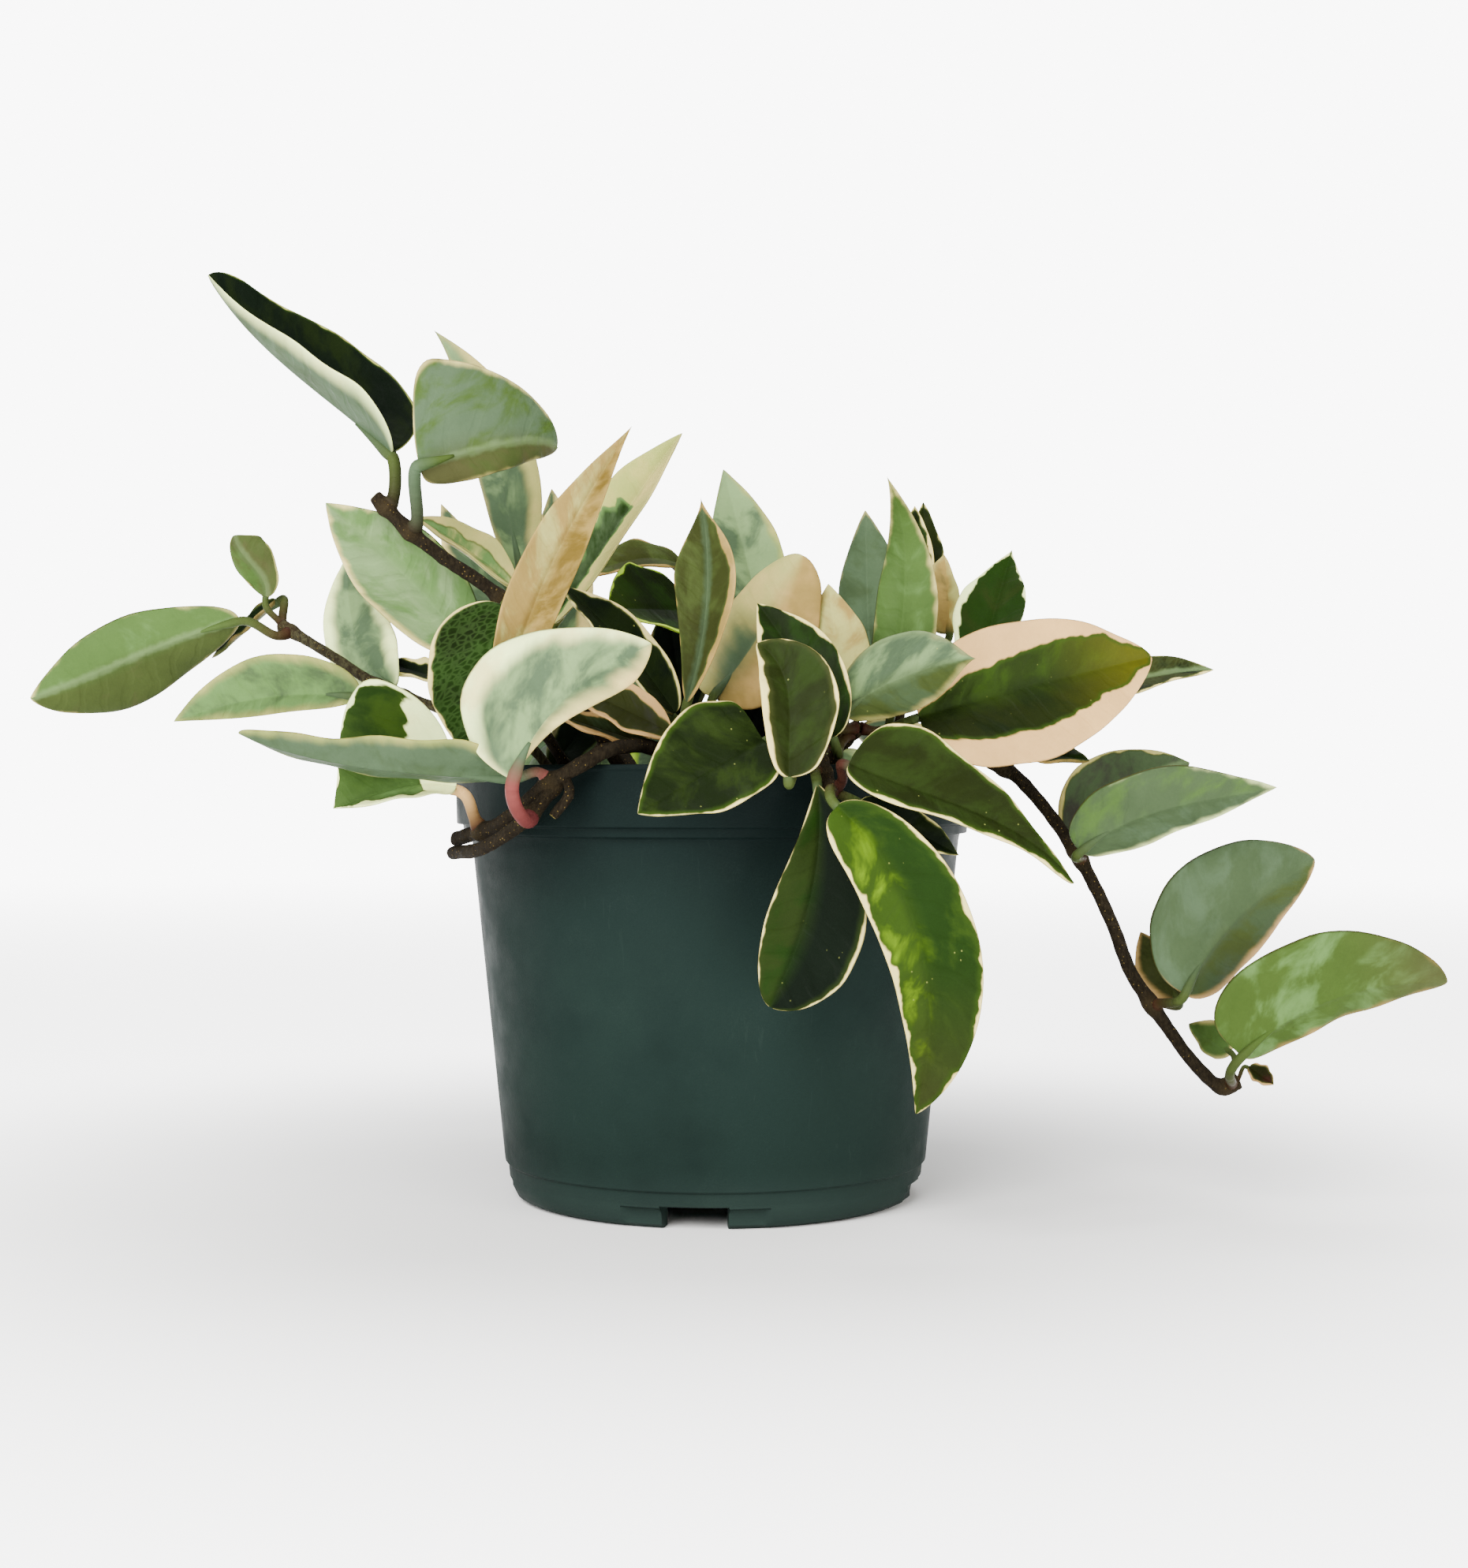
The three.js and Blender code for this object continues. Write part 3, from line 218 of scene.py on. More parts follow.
LEAVES = [
    # upper left vine
    grow("upper_left_1", (-101, -29, 214.5), (-99, -26, 232), (-153, -38, 284), (0.54, -0.69, 0.47), 44,
         out=(-0.2, 0, 1), halves=(0.91, 1.07), bend=(-19, -20), sweep=(19, -3), fold=(60, 0),
         cup=(17, 18), widest=0.3, heel=(0.75, 0.89), point=(0.95, 0.47), top=("dark", "deep"),
         under=("slate", "sage"), rim=(0.85, 0.96), edge=("ivory", "celery"), jag=0.5, patch=0.5,
         halo=("green", 1), soft=(0.4, 5), stalk=("bark", "moss"), girth=1.35, reach=0.15),
    grow("upper_left_2", (-93, -28, 208), (-89.6, -36, 226.7), (-50, -8, 236.5), (-0.25, 0.95, 0.15), 48,
         halves=(0.36, 1.25), bend=(-25, -35), sweep=(8, 20), fold=5, cup=12, widest=(0.3, 0.28),
         heel=(0.37, 1.17), point=(0.35, 0.74), under=(("moss", "leaf"), ("khaki", "sage")),
         rim=(1.1, 0.98), patch=0.5, stripe=0.3, stalk=("bark", "sage"), girth=1.35, reach=0.2),
    grow("upper_left_3", (-60, -21, 180), (-62, 6, 196), (-92, 14, 278), (0.1, 0.95, 0.1), 19,
         halves=(1.3, 1), bend=10, sweep=(-4, -22), fold=12, cup=20, point=1.1, rim=(0.6, 0.96),
         edge="beige", halo=("sage", 1.5), tip_tone="mist"),
    grow("upper_left_4", (-66, -23, 187), (-64, -8, 192), (-96, -2, 215), (0.3, -0.6, 0.7), 17,
         bend=(10, 8), fold=20, cup=20, top=("pale", "beige"), rim=(0.5, 0.4), edge="beige"),
    grow("upper_left_5", (-46, -19, 161), (-76, -12, 172), (-119, -30, 216), (0.25, 0.9, 0.3), 36,
         halves=(0.8, 1.15), bend=15, under=(("mist", "pale"), ("pale", "mist")), rim=(1.1, 0.86),
         jag=1.4, patch=0.5),
    grow("upper_left_6", (-64, -22, 184), (-64, -38, 184), (-72, -52, 140), (-0.1, -1, 0.25), 34,
         halves=(1.15, 1), bend=(25, 15), fold=8, cup=20, point=0.55, top=("green", "dark"),
         rim=(0.97, 0.92), net=0.7, stripe_tone="pale"),
    grow("upper_left_7", (-54, -21, 172), (-50, -24, 180), (-10, -26, 238), (-0.4, -0.8, 0.35), 30,
         halves=(0.75, 1), bend=10, sweep=(10, 5), fold=25, cup=25, point=0.85, top=("slate", "green"),
         under=("celery", "cream"), rim=(0.5, 0.14), edge=("celery", "beige"), jag=1.8, patch=0.5,
         halo=("pale", 2), span=(0.05, 0.62)),
    # lower left vine
    grow("lower_left_1", (-134, -10, 179), (-151, -5, 182), (-220, 3, 157.5), (-0.15, 0.9, 0.35), 29,
         out=(-0.2, -0.75, -0.6), halves=(0.92, 1.2), bend=12, sweep=(-4, 5), fold=8, cup=20,
         widest=(0.55, 0.62), heel=0.43, point=(0.82, 0.67), under=(("fresh", "moss"), ("pale", "khaki")),
         rim=1.1, patch=0.3, stripe=0.35),
    grow("lower_left_2", (-136.5, -8, 179.5), (-142.7, -5, 189.4), (-153, -4, 209), (0.2, -0.9, 0.3), 14,
         joined=True, halves=(0.8, 1.2), sweep=(37, -20), widest=(0.41, 0.66), heel=(0.57, 0.3),
         point=(0.73, 0.5), top=(("fresh", "khaki"), ("khaki", "moss")), rim=(1.1, 0.95), edge="beige",
         patch=0.5, stripe=0.25),
    grow("lower_left_3", (-104, -21, 161), (-109, -26, 157), (-165, -32, 149), (0.05, 0.95, 0.3), 21,
         halves=(1.2, 0.65), bend=8, sweep=(-14, -12), under=("slate", "pale"), rim=(0.9, 0.78),
         edge="celery", jag=0.9, patch=0.5, halo=("pale", 1.5), soft=(1, 2.5)),
    grow("lower_left_4", (-96, -21, 157), (-101, -10, 160), (-119.9, 12, 204.1), (0, 1, 0.1), 24,
         sweep=(34, 16), rim=(0.72, 0.62), edge="ivory", jag=1, patch=0.42, halo=("pale", 2),
         soft=(1, 2.5)),
    grow("lower_left_5", (-136.5, -8, 179.5), (-141, 2, 189), (-164, 13, 171), (0.3, -0.6, 0.8), 8,
         joined=True, top=("deep", "green"), rim=0.8, edge="moss"),
    grow("lower_left_6", (-84, -21, 154), (-86, -6, 163), (-107, 8, 169), (0, -0.6, 0.8), 12, joined=True,
         top=("deep", "dark"), rim=(0.85, 0.6)),
    # forked stub over the front left rim
    grow("front_left_1", (-52, -80.5, 121), (-55, -95, 131), (-17, -90, 169), (0, 1, 0.1), 34,
         out=(-0.3, -0.7, -0.7), halves=(0.52, 1.6), bend=8, sweep=(28, 22), cup=25, widest=(0.75, 0.34),
         heel=(0.45, 1.2), point=(0.72, 0.82), rim=(0.56, 0.74), edge=("cream", "ivory"), jag=1.2,
         patch=0.45, halo=("mist", 3), soft=(1, 3.5), blush=0.5, stalk=("rose", "pink"), girth=1.35),
    grow("front_left_2", (-46, -79, 130.5), (-57.5, -79, 132.5), (-128.6, -106, 144), (0.05, 0.5, 0.85),
         24, halves=(1.03, 1.02), bend=(-8, -5), sweep=(-2, 16), widest=0.28, heel=(1.2, 0.34),
         point=(0.51, 0.83), top=("green", "dark"), under=("sage", "slate"), rim=(0.95, 0.9),
         edge="celery", soft=(1, 2.5), stalk=("pink", "sage")),
    grow("front_left_3", (-68, -60, 117), (-75, -62, 129), (-108, -78, 123), (0.05, -0.82, 0.57), 50,
         halves=(0.41, 1.28), sweep=(32, 4), fold=30, cup=10, widest=(0.41, 0.47), heel=(0.35, 0.96),
         point=(1.1, 1.04), top=(("fresh", "green"), ("pale", "grass")), rim=(0.75, 0.95), edge="ivory",
         jag=2, patch=0.45, halo=("grass", 1), span=(0.3, 2), tip_tone="fresh", stalk=("rust", "peach"),
         girth=1.2),
    # crown: left and centre
    grow("left_1", (-54, -56, 149), (-60, -66, 157.9), (-24.2, -52, 236), (0.2, -0.95, 0.1), 23,
         halves=(1, 0.8), bend=8, sweep=(-10, -8), fold=25, cup=20, widest=0.35, point=1.1,
         top=(("tan", "ochre"), ("beige", "tan")), under=("beige", "tan"), rim=1.1, edge="tan", jag=2,
         patch=0.42, halo=("tan", 2), specks=-0.25, blush=0.4),
    grow("centre_1", (-7, -42, 146), (-12, -46, 151), (-46, -44, 189.5), (0.45, -0.6, 0.65), 22, bend=10,
         top=("dark", "deep"), rim=(0.95, 0.82), specks=0.6),
    grow("centre_2", (-7, -43, 147), (-8, -57, 154), (-4, -52, 215), (-0.1, -1, 0.1), 23,
         out=(0, -0.2, 1), sweep=14, fold=28, cup=20, widest=0.58, point=1.6, top=("dusk", "moss"),
         under=("moss", "dusk"), rim=(1, 0.72), edge="tan", halo=("moss", 1), stripe=0.6,
         stripe_tone="sage"),
    # Painted shade: its soft-bordered sage zone by the base stands for the shade on the lower side of the
    # pale blade.
    grow("centre_3", (-6, -38, 143), (0, -46, 156), (27, -30, 200), (0.1, 0.9, -0.2), 38, bend=25, cup=35,
         heel=0.7, point=0.5, under=("sage", "tan"), rim=(0.1, 0.55), edge=("tan", "beige"), jag=2,
         patch=0.1, halo=("tan", 3), span=(0, 0.55), soft=(1, 8), blush=0.3),
    grow("centre_4", (-6, -36, 141), (-13, -60, 145), (-44, -74, 160), (-0.2, -0.8, 0.6), 18, joined=True,
         top=("stone", "dusk"), rim=(0.85, 0.6), edge="peach", patch=0.6, specks=0.4),
    grow("centre_5", (-6, -34, 139), (-18, -56, 141), (-46, -70, 150), (-0.2, -0.7, 0.7), 12, joined=True,
         top=("dusk", "slate"), rim=(0.7, 0.6), edge="peach"),
    # crown: behind the centre
    grow("back_centre_1", (-2, 8, 186), (-10.4, 24, 200.9), (-43.5, 2, 196), (0, -0.7, 0.7), 16,
         bend=(35, 25), top=("dusk", "moss"), under=("moss", "dusk"), rim=0.93, edge="tan", patch=0.45,
         blush=0.6),
    grow("back_centre_2", (1, 6, 178), (-7.4, 5, 185.6), (-32.1, -30, 183.6), (-0.1, -0.9, 0.4), 34,
         point=0.7, rim=(0.9, 0.94), edge="yellow", halo=("grass", 0.8), tip_tone="grass", specks=0.4),
    grow("back_centre_3", (4, 4, 166), (15.8, -6, 179.7), (2.4, 18, 233.2), (0.1, 1, 0.1), 25, fold=15,
         under=("mist", "sage"), rim=(0.88, 1.1), edge="celery", halo=("fresh", 1.2), stripe=0.5),
    # crown: right front
    grow("right_front_1", (42, -40, 146), (34.6, -66, 143.5), (12.7, -56, 183.1), (0.1, -1, 0.1), 24,
         sweep=8, rim=(0.8, 0.93), halo=("green", 1)),
    # Painted shade: the half where v is below zero is painted darker, for the shade on the leaf's lower,
    # folded half.
    grow("right_front_2", (43, -42, 147), (37.7, -58, 150.6), (75.4, -72, 166), (0.1, 0.9, -0.1), 38,
         halves=(0.6, 0.92), bend=(15, 10), sweep=(20, 15), fold=25, point=1.3,
         under=(("moss", "sage"), ("slate", "mist")), rim=(0.97, 0.92), edge=("beige", "mist"), jag=1,
         patch=0.45, specks=0.6),
    grow("right_front_3", (43, -42, 147), (61, -46, 150), (132.5, -36, 168.5), (-0.05, -1, 0.15), 46,
         halves=(0.9, 1.03), bend=10, fold=6, cup=12, widest=0.4, point=0.7,
         top=(("fern", "dark"), ("grass", "olive")), rim=(0.58, 0.56), edge="peach", jag=1, patch=0.45,
         halo=("grass", 1.5), tip_tone="gold", specks=0.3, blush=0.4, drift=(0.3, 0)),
    grow("right_front_4", (40, -36, 143), (39.6, -30, 153.9), (35.1, -22, 192), (0, 1, 0), 22,
         under=("beige", "tan"), rim=1.1),
    # front vine, over the rim
    grow("front_1", (30, -84, 136), (20.9, -99, 131.9), (12.4, -86, 169.6), (0.1, -1, 0.1), 28,
         halves=(0.59, 1), sweep=(10.5, 44), widest=0.5, heel=(0.36, 0.3), point=(0.57, 0.9),
         top=("fern", "olive"), rim=(0.72, 0.97), jag=0.6, patch=0.5, halo=("dusk", 2), specks=0.4),
    grow("front_2", (28, -78, 141), (14, -88, 142), (-20, -110, 122), (-0.1, -0.95, 0.3), 30,
         halves=(1, 1.2), widest=(0.38, 0.3), heel=0.3, point=0.8, top=("dark", "fern"),
         rim=(0.96, 0.965), jag=0.5, patch=0.42, halo=("grass", 2), specks=0.4),
    grow("front_3", (33, -89, 128), (37.3, -100, 135.6), (98.5, -104, 103), (0.1, -0.85, 0.5), 30,
         out=(1, -0.5, 0.4), halves=(1.15, 0.56), sweep=(-4, -28), widest=(0.2, 0.21), heel=(1.2, 0.74),
         point=(1.45, 0.44), top=("olive", "fern"), rim=(0.97, 0.88), jag=0.6, patch=0.45,
         halo=("grass", 1.5), specks=0.6, stalk=("rust", "rust")),
    grow("front_4", (31, -87, 133), (29, -94, 130), (16, -92, 68), (0, -1, 0.1), 31,
         out=(-0.5, -0.6, 0.2), halves=(1.15, 0.72), sweep=(-18, -14), widest=0.64, point=0.55,
         top=(("deep", "green"), ("deep", "fern")), rim=(0.95, 0.97), jag=0.5, patch=0.45,
         halo=("fern", 2), specks=0.2),
    grow("front_5", (33, -90, 127), (34, -102, 124), (56, -96, 39), (-0.1, -1, 0.15), 33,
         out=(0.25, -0.8, -0.5), halves=(1, 0.72), bend=(12, 8), sweep=(-35, -30), widest=(0.5, 0.3),
         point=0.8, top=(("green", "grass"), ("grass", "lime")), rim=(0.97, 0.88), jag=1.2, patch=0.37,
         halo=("grass", 2), tip_tone="dusk", specks=0.4),
    grow("front_6", (33, -89, 128), (41, -90, 125), (69, -86, 110), (0, -0.9, 0.4), 12, joined=True,
         top=("dark", "deep")),
    # crown: right back
    grow("right_back_1", (56, 9, 143), (56, -14, 158), (54, -10, 227), (0.1, 1, 0), 23, halves=(1, 0.85),
         sweep=(-8, -22), widest=0.3, point=1.1, under=("fresh", "pale"), rim=(0.97, 1.1), patch=0.35,
         tip_tone="grass"),
    grow("right_back_2", (58, 8, 152), (49.9, 12, 169.5), (50, 36, 222), (0.1, 1, 0), 28, halves=(1, 0.8),
         fold=20, under=("sage", "slate"), rim=1.1),
    grow("right_back_3", (66, 10, 175), (76, 14, 179), (75.5, 26, 206), (-0.1, 1, 0.1), 22,
         halves=(0.45, 1), under=("tan", "khaki"), rim=(0.3, 0.7), edge="beige", jag=1.4),
    grow("right_back_4", (62, 8, 165), (82.5, -8, 163.4), (97.3, 20, 207), (-0.2, -0.9, 0.35), 30,
         halves=(0.85, 0.7), point=1.2, top=("green", "fern"), rim=(0.8, 0.96), edge="ivory", jag=1,
         halo=("green", 0.8)),
    grow("right_back_5", (67, 12, 179), (66, 28, 184), (67, 40, 224), (-0.2, -0.9, 0.3), 14, joined=True,
         rim=0.8),
    grow("right_back_6", (68, 12, 180), (70, 36, 184), (71, 54, 227), (0.2, -0.9, 0.3), 14, joined=True,
         top=("olive", "dark"), rim=0.95),
    # right vine
    grow("right_1", (90, -16, 135), (104, -6, 152), (157, -10, 166), (-0.1, -0.6, 0.75), 20, bend=15,
         top=("deep", "dusk"), under=("stone", "stone"), rim=0.97, patch=0.5, net=0.2, stripe=0.5),
    grow("right_2", (87, -15, 137), (90, -24, 140), (114, -34, 137), (0, -0.5, 0.85), 16, joined=True,
         under=("stone", "slate"), rim=(0.9, 0.95), edge="tan", patch=0.5),
    grow("right_3", (112, -28, 107), (110, -40, 110), (167, -50, 129), (-0.05, 0.9, 0.4), 28,
         halves=(0.9, 0.92), sweep=(25, 10), widest=0.35, under=("slate", ("sage", "fresh")),
         rim=(0.9, 1.1), edge="ivory"),
    grow("right_4", (111, -27, 109), (112, -14, 112), (154, 12, 137), (0.2, -0.8, 0.5), 34,
         halves=(0.75, 1), sweep=(-35, -15), top=("stone", "slate"), rim=(0.9, 0.92), edge="beige",
         patch=0.5, stripe=0.4),
    grow("right_5", (134, -30, 62), (141, -42, 67), (184, -28, 107), (0, 0.95, 0.2), 44,
         halves=(0.7, 1.02), bend=12, sweep=(15, 10), point=0.6, under=("slate", ("moss", "sage")),
         rim=(0.86, 1.1), edge="peach", patch=0.45, blush=0.4),
    grow("right_6", (158, -30, 38), (156.1, -50, 49.5), (218.9, -46, 70.9), (0, 0.9, 0.35), 32,
         out=(0, -1, 0.3), halves=(0.68, 1.25), sweep=(30, 25), widest=(0.4, 0.34), heel=(0.5, 0.35),
         point=0.6, under=("leaf", "pale"), rim=(0.9, 1.1), edge="tan", jag=1, tip_tone="khaki",
         specks=-0.7),
    grow("right_7", (133, -30, 63), (144, -18, 63), (135, -4, 83), (0, 1, 0), 16, joined=True,
         top=("dark", "dusk"), under=("dusk", "olive"), rim=0.85, edge="peach"),
    grow("right_8", (156, -30, 38), (160, -20, 47), (150, -6, 54), (0, 1, 0.2), 12, joined=True,
         under=("fresh", "leaf"), rim=0.97),
    grow("right_9", (160, -30, 39), (164, -27, 43), (171, -30, 38), (0, -0.8, 0.5), 7, joined=True,
         top=("olive", "rust"), under=("fresh", "moss"), rim=0.8, edge="peach"),
    # dark leaves low in the crown, seen between the front ones, coloured near black as painted shade in
    # the crown's gaps
    grow("inner_1", (6, 6, 147), (-10, 12, 152), (-16, 14, 188), (0.1, -1, 0.1), 22,
         stem="stem_back_centre", joined=True, top=("deep", "night"), rim=(0.9, 0.85), edge="khaki"),
    grow("inner_2", (-50, -14.5, 131), (-52, -4, 135), (-36, 2, 156), (0, -1, 0.2), 15,
         stem="vine_lower_left", joined=True, top=("deep", "dark"), rim=(0.8, 0.9), edge="sage"),
    grow("inner_3", (7, 7, 140), (8, -2, 141), (17, -6, 162), (0, -1, 0.2), 16, stem="stem_back_centre",
         joined=True, top=("night", "deep"), rim=0.95),
    # back of the crown
    grow("back_left_1", (-36, 54, 142), (-54, 44, 156), (-95.5, 58, 227), (-0.5, 0.8, 0.3), 27, bend=15,
         top=("green", "slate"), rim=(0.8, 0.7), jag=1.4),
    grow("back_left_2", (-43, 66, 146), (-58, 76, 148), (-84, 104, 102), (-0.5, 0.6, 0.6), 33,
         bend=(30, 15), rim=(0.8, 0.75), jag=1.4, halo=("grass", 1.5)),
    grow("back_left_3", (-48, 79, 144), (-44, 92, 143), (-38, 110, 84), (0, 1, 0.3), 33, bend=(30, 10),
         top=("dark", "olive"), rim=(0.9, 0.86), edge="yellow", halo=("grass", 1)),
    grow("back_left_4", (-40, 60, 145), (-54, 58, 166), (-57, 56, 232), (0.1, 0.9, 0.3), 24, bend=10,
         top=("slate", "dark"), rim=(0.6, 0.9), jag=1.8),
    grow("back_right_1", (38, 83, 143), (44, 94, 142), (52, 110, 84), (0, 1, 0.3), 33, bend=(30, 10),
         top=("green", "dark"), rim=(0.6, 0.7), edge="ivory", jag=2, patch=0.5),
    grow("back_right_2", (34, 66, 146), (50, 74, 150), (84, 98, 122), (0.3, 0.6, 0.75), 30, bend=(25, 15),
         rim=(0.9, 0.93), halo=("grass", 1)),
    grow("back_right_3", (29, 47, 137), (24, 50, 158), (14, 64, 214), (0, 0.9, 0.3), 27, bend=10,
         top=("dark", "deep"), rim=(0.8, 0.6), edge="peach", jag=1.6),
    grow("back_right_4", (31, 56, 142), (44, 56, 154), (60, 68, 206), (0.3, 0.8, 0.3), 26, bend=10,
         top=("green", "grass"), rim=(0.92, 0.9), net=0.5),
    grow("back_left_5", (-43, 66, 146), (-24, 78, 151), (-10, 108, 101), (0.1, 1, 0.5), 32, joined=True,
         bend=(30, 15), top=("grass", "green"), rim=(0.75, 0.85), edge="yellow", halo=("lime", 1.5)),
    grow("back_left_6", (-33, 49, 140), (-24, 54, 148), (-28, 68, 186), (0, 1, 0.3), 22, joined=True,
         bend=10, top=("dark", "deep")),
    grow("back_right_5", (34, 68, 146), (22, 84, 148), (16, 110, 92), (-0.1, 1, 0.4), 30, joined=True,
         bend=(30, 10), top=("dark", "olive"), rim=(0.92, 0.9), edge="yellow", halo=("grass", 1)),
    grow("back_right_6", (6, 6, 148), (4, 26, 160), (0, 50, 202), (0, 0.9, 0.4), 26,
         stem="stem_back_centre", joined=True, bend=(15, 10), top=("green", "slate"), rim=(0.7, 0.85),
         jag=1.6),
]


# ---- small maths


def colour(name):
    """The surface colour, in linear light, that shows as a palette colour once it is lit."""
    shown = np.array([int(PALETTE[name][i : i + 2], 16) / 255 for i in (0, 2, 4)])
    gain, power, shoulder, fall = SHOWN_CURVE
    light = gain * shown**power / (1 - shoulder * shown) ** fall
    grey = light @ GREY_SHARES
    light = grey + (light - grey) * (1.2 - 0.06 * shown.mean())
    return np.clip(light / LIGHT_LEVEL, 0.002, 0.85)


def unit(vector):
    return vector / np.linalg.norm(vector, axis=-1, keepdims=True)


def turned_towards(direction, target, degrees):
    angle = math.radians(degrees)
    return direction * math.cos(angle) + target * math.sin(angle)


def square_to(vector, axis):
    return unit(vector - axis * np.sum(vector * axis, axis=-1, keepdims=True))


def cubic(points, t):
    """Places at each t along a cubic curve with four control points, and its direction there."""
    a, b, c, d = [np.asarray(p, float) for p in points]
    t = np.asarray(t, float)[:, None]
    place = a * (1 - t) ** 3 + 3 * b * t * (1 - t) ** 2 + 3 * c * t**2 * (1 - t) + d * t**3
    along = (b - a) * (1 - t) ** 2 + 2 * (c - b) * t * (1 - t) + (d - c) * t**2
    return place, unit(along)


def smooth_path(points):
    """The CAD model's stem curve: a smooth centripetal spline through the points."""
    p = [np.asarray(q, float) for q in points]
    p = [2 * p[0] - p[1], *p, 2 * p[-1] - p[-2]]
    found = []
    for u in np.linspace(0, len(points) - 1, CURVE_STEPS + 1):
        i = min(int(u), len(points) - 2)
        w = u - i
        x0, x1, x2, x3 = p[i : i + 4]
        d0, d1, d2 = [math.sqrt(np.linalg.norm(q - r)) for q, r in ((x1, x0), (x2, x1), (x3, x2))]
        m1 = ((x1 - x0) / d0 - (x2 - x0) / (d0 + d1) + (x2 - x1) / d1) * d1
        m2 = ((x2 - x1) / d1 - (x3 - x1) / (d1 + d2) + (x3 - x2) / d2) * d1
        bend = (3 * (x2 - x1) - 2 * m1 - m2) * w**2 + (2 * (x1 - x2) + m1 + m2) * w**3
        found.append(x1 + m1 * w + bend)
    return np.array(found)


def even(points, step):
    """The same path with its points a step apart."""
    run = np.concatenate([[0], np.cumsum(np.linalg.norm(np.diff(points, axis=0), axis=1))])
    wanted = np.linspace(0, run[-1], max(2, round(run[-1] / step) + 1))
    return np.stack([np.interp(wanted, run, points[:, k]) for k in range(3)], axis=1)


def directions(points):
    return unit(np.gradient(points, axis=0))


def tube_rings(points, radii, sides, wobble=1):
    """Rings round a path, each turned no more than the path itself turns."""
    along = directions(points)
    u = square_to(np.array([0.0, 0.0, 1.0] if abs(along[0][2]) < 0.9 else [1.0, 0.0, 0.0]), along[0])
    angles = (np.arange(sides) * 2 * math.pi / sides)[:, None]
    reaches = radii[:, None] * wobble * np.ones(sides)
    rings = []
    for point, ahead, reach in zip(points, along, reaches):
        u = square_to(u, ahead)
        rings.append(point + reach[:, None] * (np.cos(angles) * u + np.sin(angles) * np.cross(ahead, u)))
    return np.array(rings)


def smooth_noise(rng, rows, columns, passes):
    """Seeded noise from -1 to 1 that is smooth along the rows and round the columns."""
    values = rng.uniform(-1, 1, (rows, columns))
    for _ in range(passes):
        values = (np.roll(values, 1, 1) + values * 2 + np.roll(values, -1, 1)) / 4
        padded = np.pad(values, ((1, 1), (0, 0)), mode="edge")
        values = (padded[:-2] + padded[1:-1] * 2 + padded[2:]) / 4
    return values / max(np.abs(values).max(), 1e-6)


def spread(shape, *values):
    """Each value at every point of a grid, side by side."""
    return np.stack([np.broadcast_to(value, shape) for value in values], -1)


# ---- building meshes


def add_object(name, data):
    ob = bpy.data.objects.new(name, data)
    bpy.context.scene.collection.objects.link(ob)
    return ob


def make_mesh(name, points, faces):
    mesh = bpy.data.meshes.new(name)
    mesh.from_pydata([tuple(p * MM) for p in np.asarray(points)], [], faces)
    return mesh


def volume(points, faces):
    total = 0.0
    points = np.asarray(points) - np.mean(points, axis=0)
    for face in faces:
        for i in range(1, len(face) - 1):
            total += np.dot(points[face[0]], np.cross(points[face[i]], points[face[i + 1]]))
    return total / 6


class Shape:
    """Vertices, faces and attributes of one piece, in millimetres."""

    def __init__(self):
        self.points = []
        self.faces = []
        self.values = {}

    def add(self, points, faces, **values):
        """Adds a closed skin, with its faces turned to look out."""
        turn = -1 if volume(points, faces) < 0 else 1
        start = len(self.points)
        self.points.extend(points)
        self.faces.extend([tuple(start + i for i in face[::turn]) for face in faces])
        for name, value in values.items():
            self.values.setdefault(name, []).extend(np.broadcast_to(value, (len(points), 3)))

    def loft(self, rings, **values):
        """Skins a row of rings, and closes each end with a fan round its middle."""
        count, sides, _ = rings.shape
        points = rings.reshape(-1, 3)
        faces = []
        for i in range(count - 1):
            for j in range(sides):
                k = (j + 1) % sides
                faces.append((i * sides + j, i * sides + k, (i + 1) * sides + k, (i + 1) * sides + j))
        flat = {n: np.broadcast_to(v, rings.shape).reshape(-1, 3) for n, v in values.items()}
        for ring in (0, count - 1):
            middle = len(points)
            points = np.vstack([points, rings[ring].mean(0)])
            flat = {n: np.vstack([v, v[ring * sides]]) for n, v in flat.items()}
            for j in range(sides):
                a, b = ring * sides + j, ring * sides + (j + 1) % sides
                faces.append((middle, b, a) if ring == 0 else (middle, a, b))
        self.add(points, faces, **flat)

    def piece(self, name, material, slot, sharp=180):
        mesh = make_mesh(name, self.points, self.faces)
        for key, value in self.values.items():
            kind, field = "FLOAT_VECTOR", "vector"
            data = np.asarray(value, np.float32)
            if key.endswith("colour"):
                kind, field = "FLOAT_COLOR", "color"
                data = np.hstack([data, np.ones((len(data), 1), np.float32)])
            mesh.attributes.new(key, kind, "POINT").data.foreach_set(field, data.ravel())
        mesh.materials.append(material)
        mesh.update()
        mesh.shade_smooth()
        if sharp < 180:
            mesh.set_sharp_from_angle(angle=math.radians(sharp))
        ob = add_object(name, mesh)
        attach(ob, "root")
        return ob


# ---- material nodes


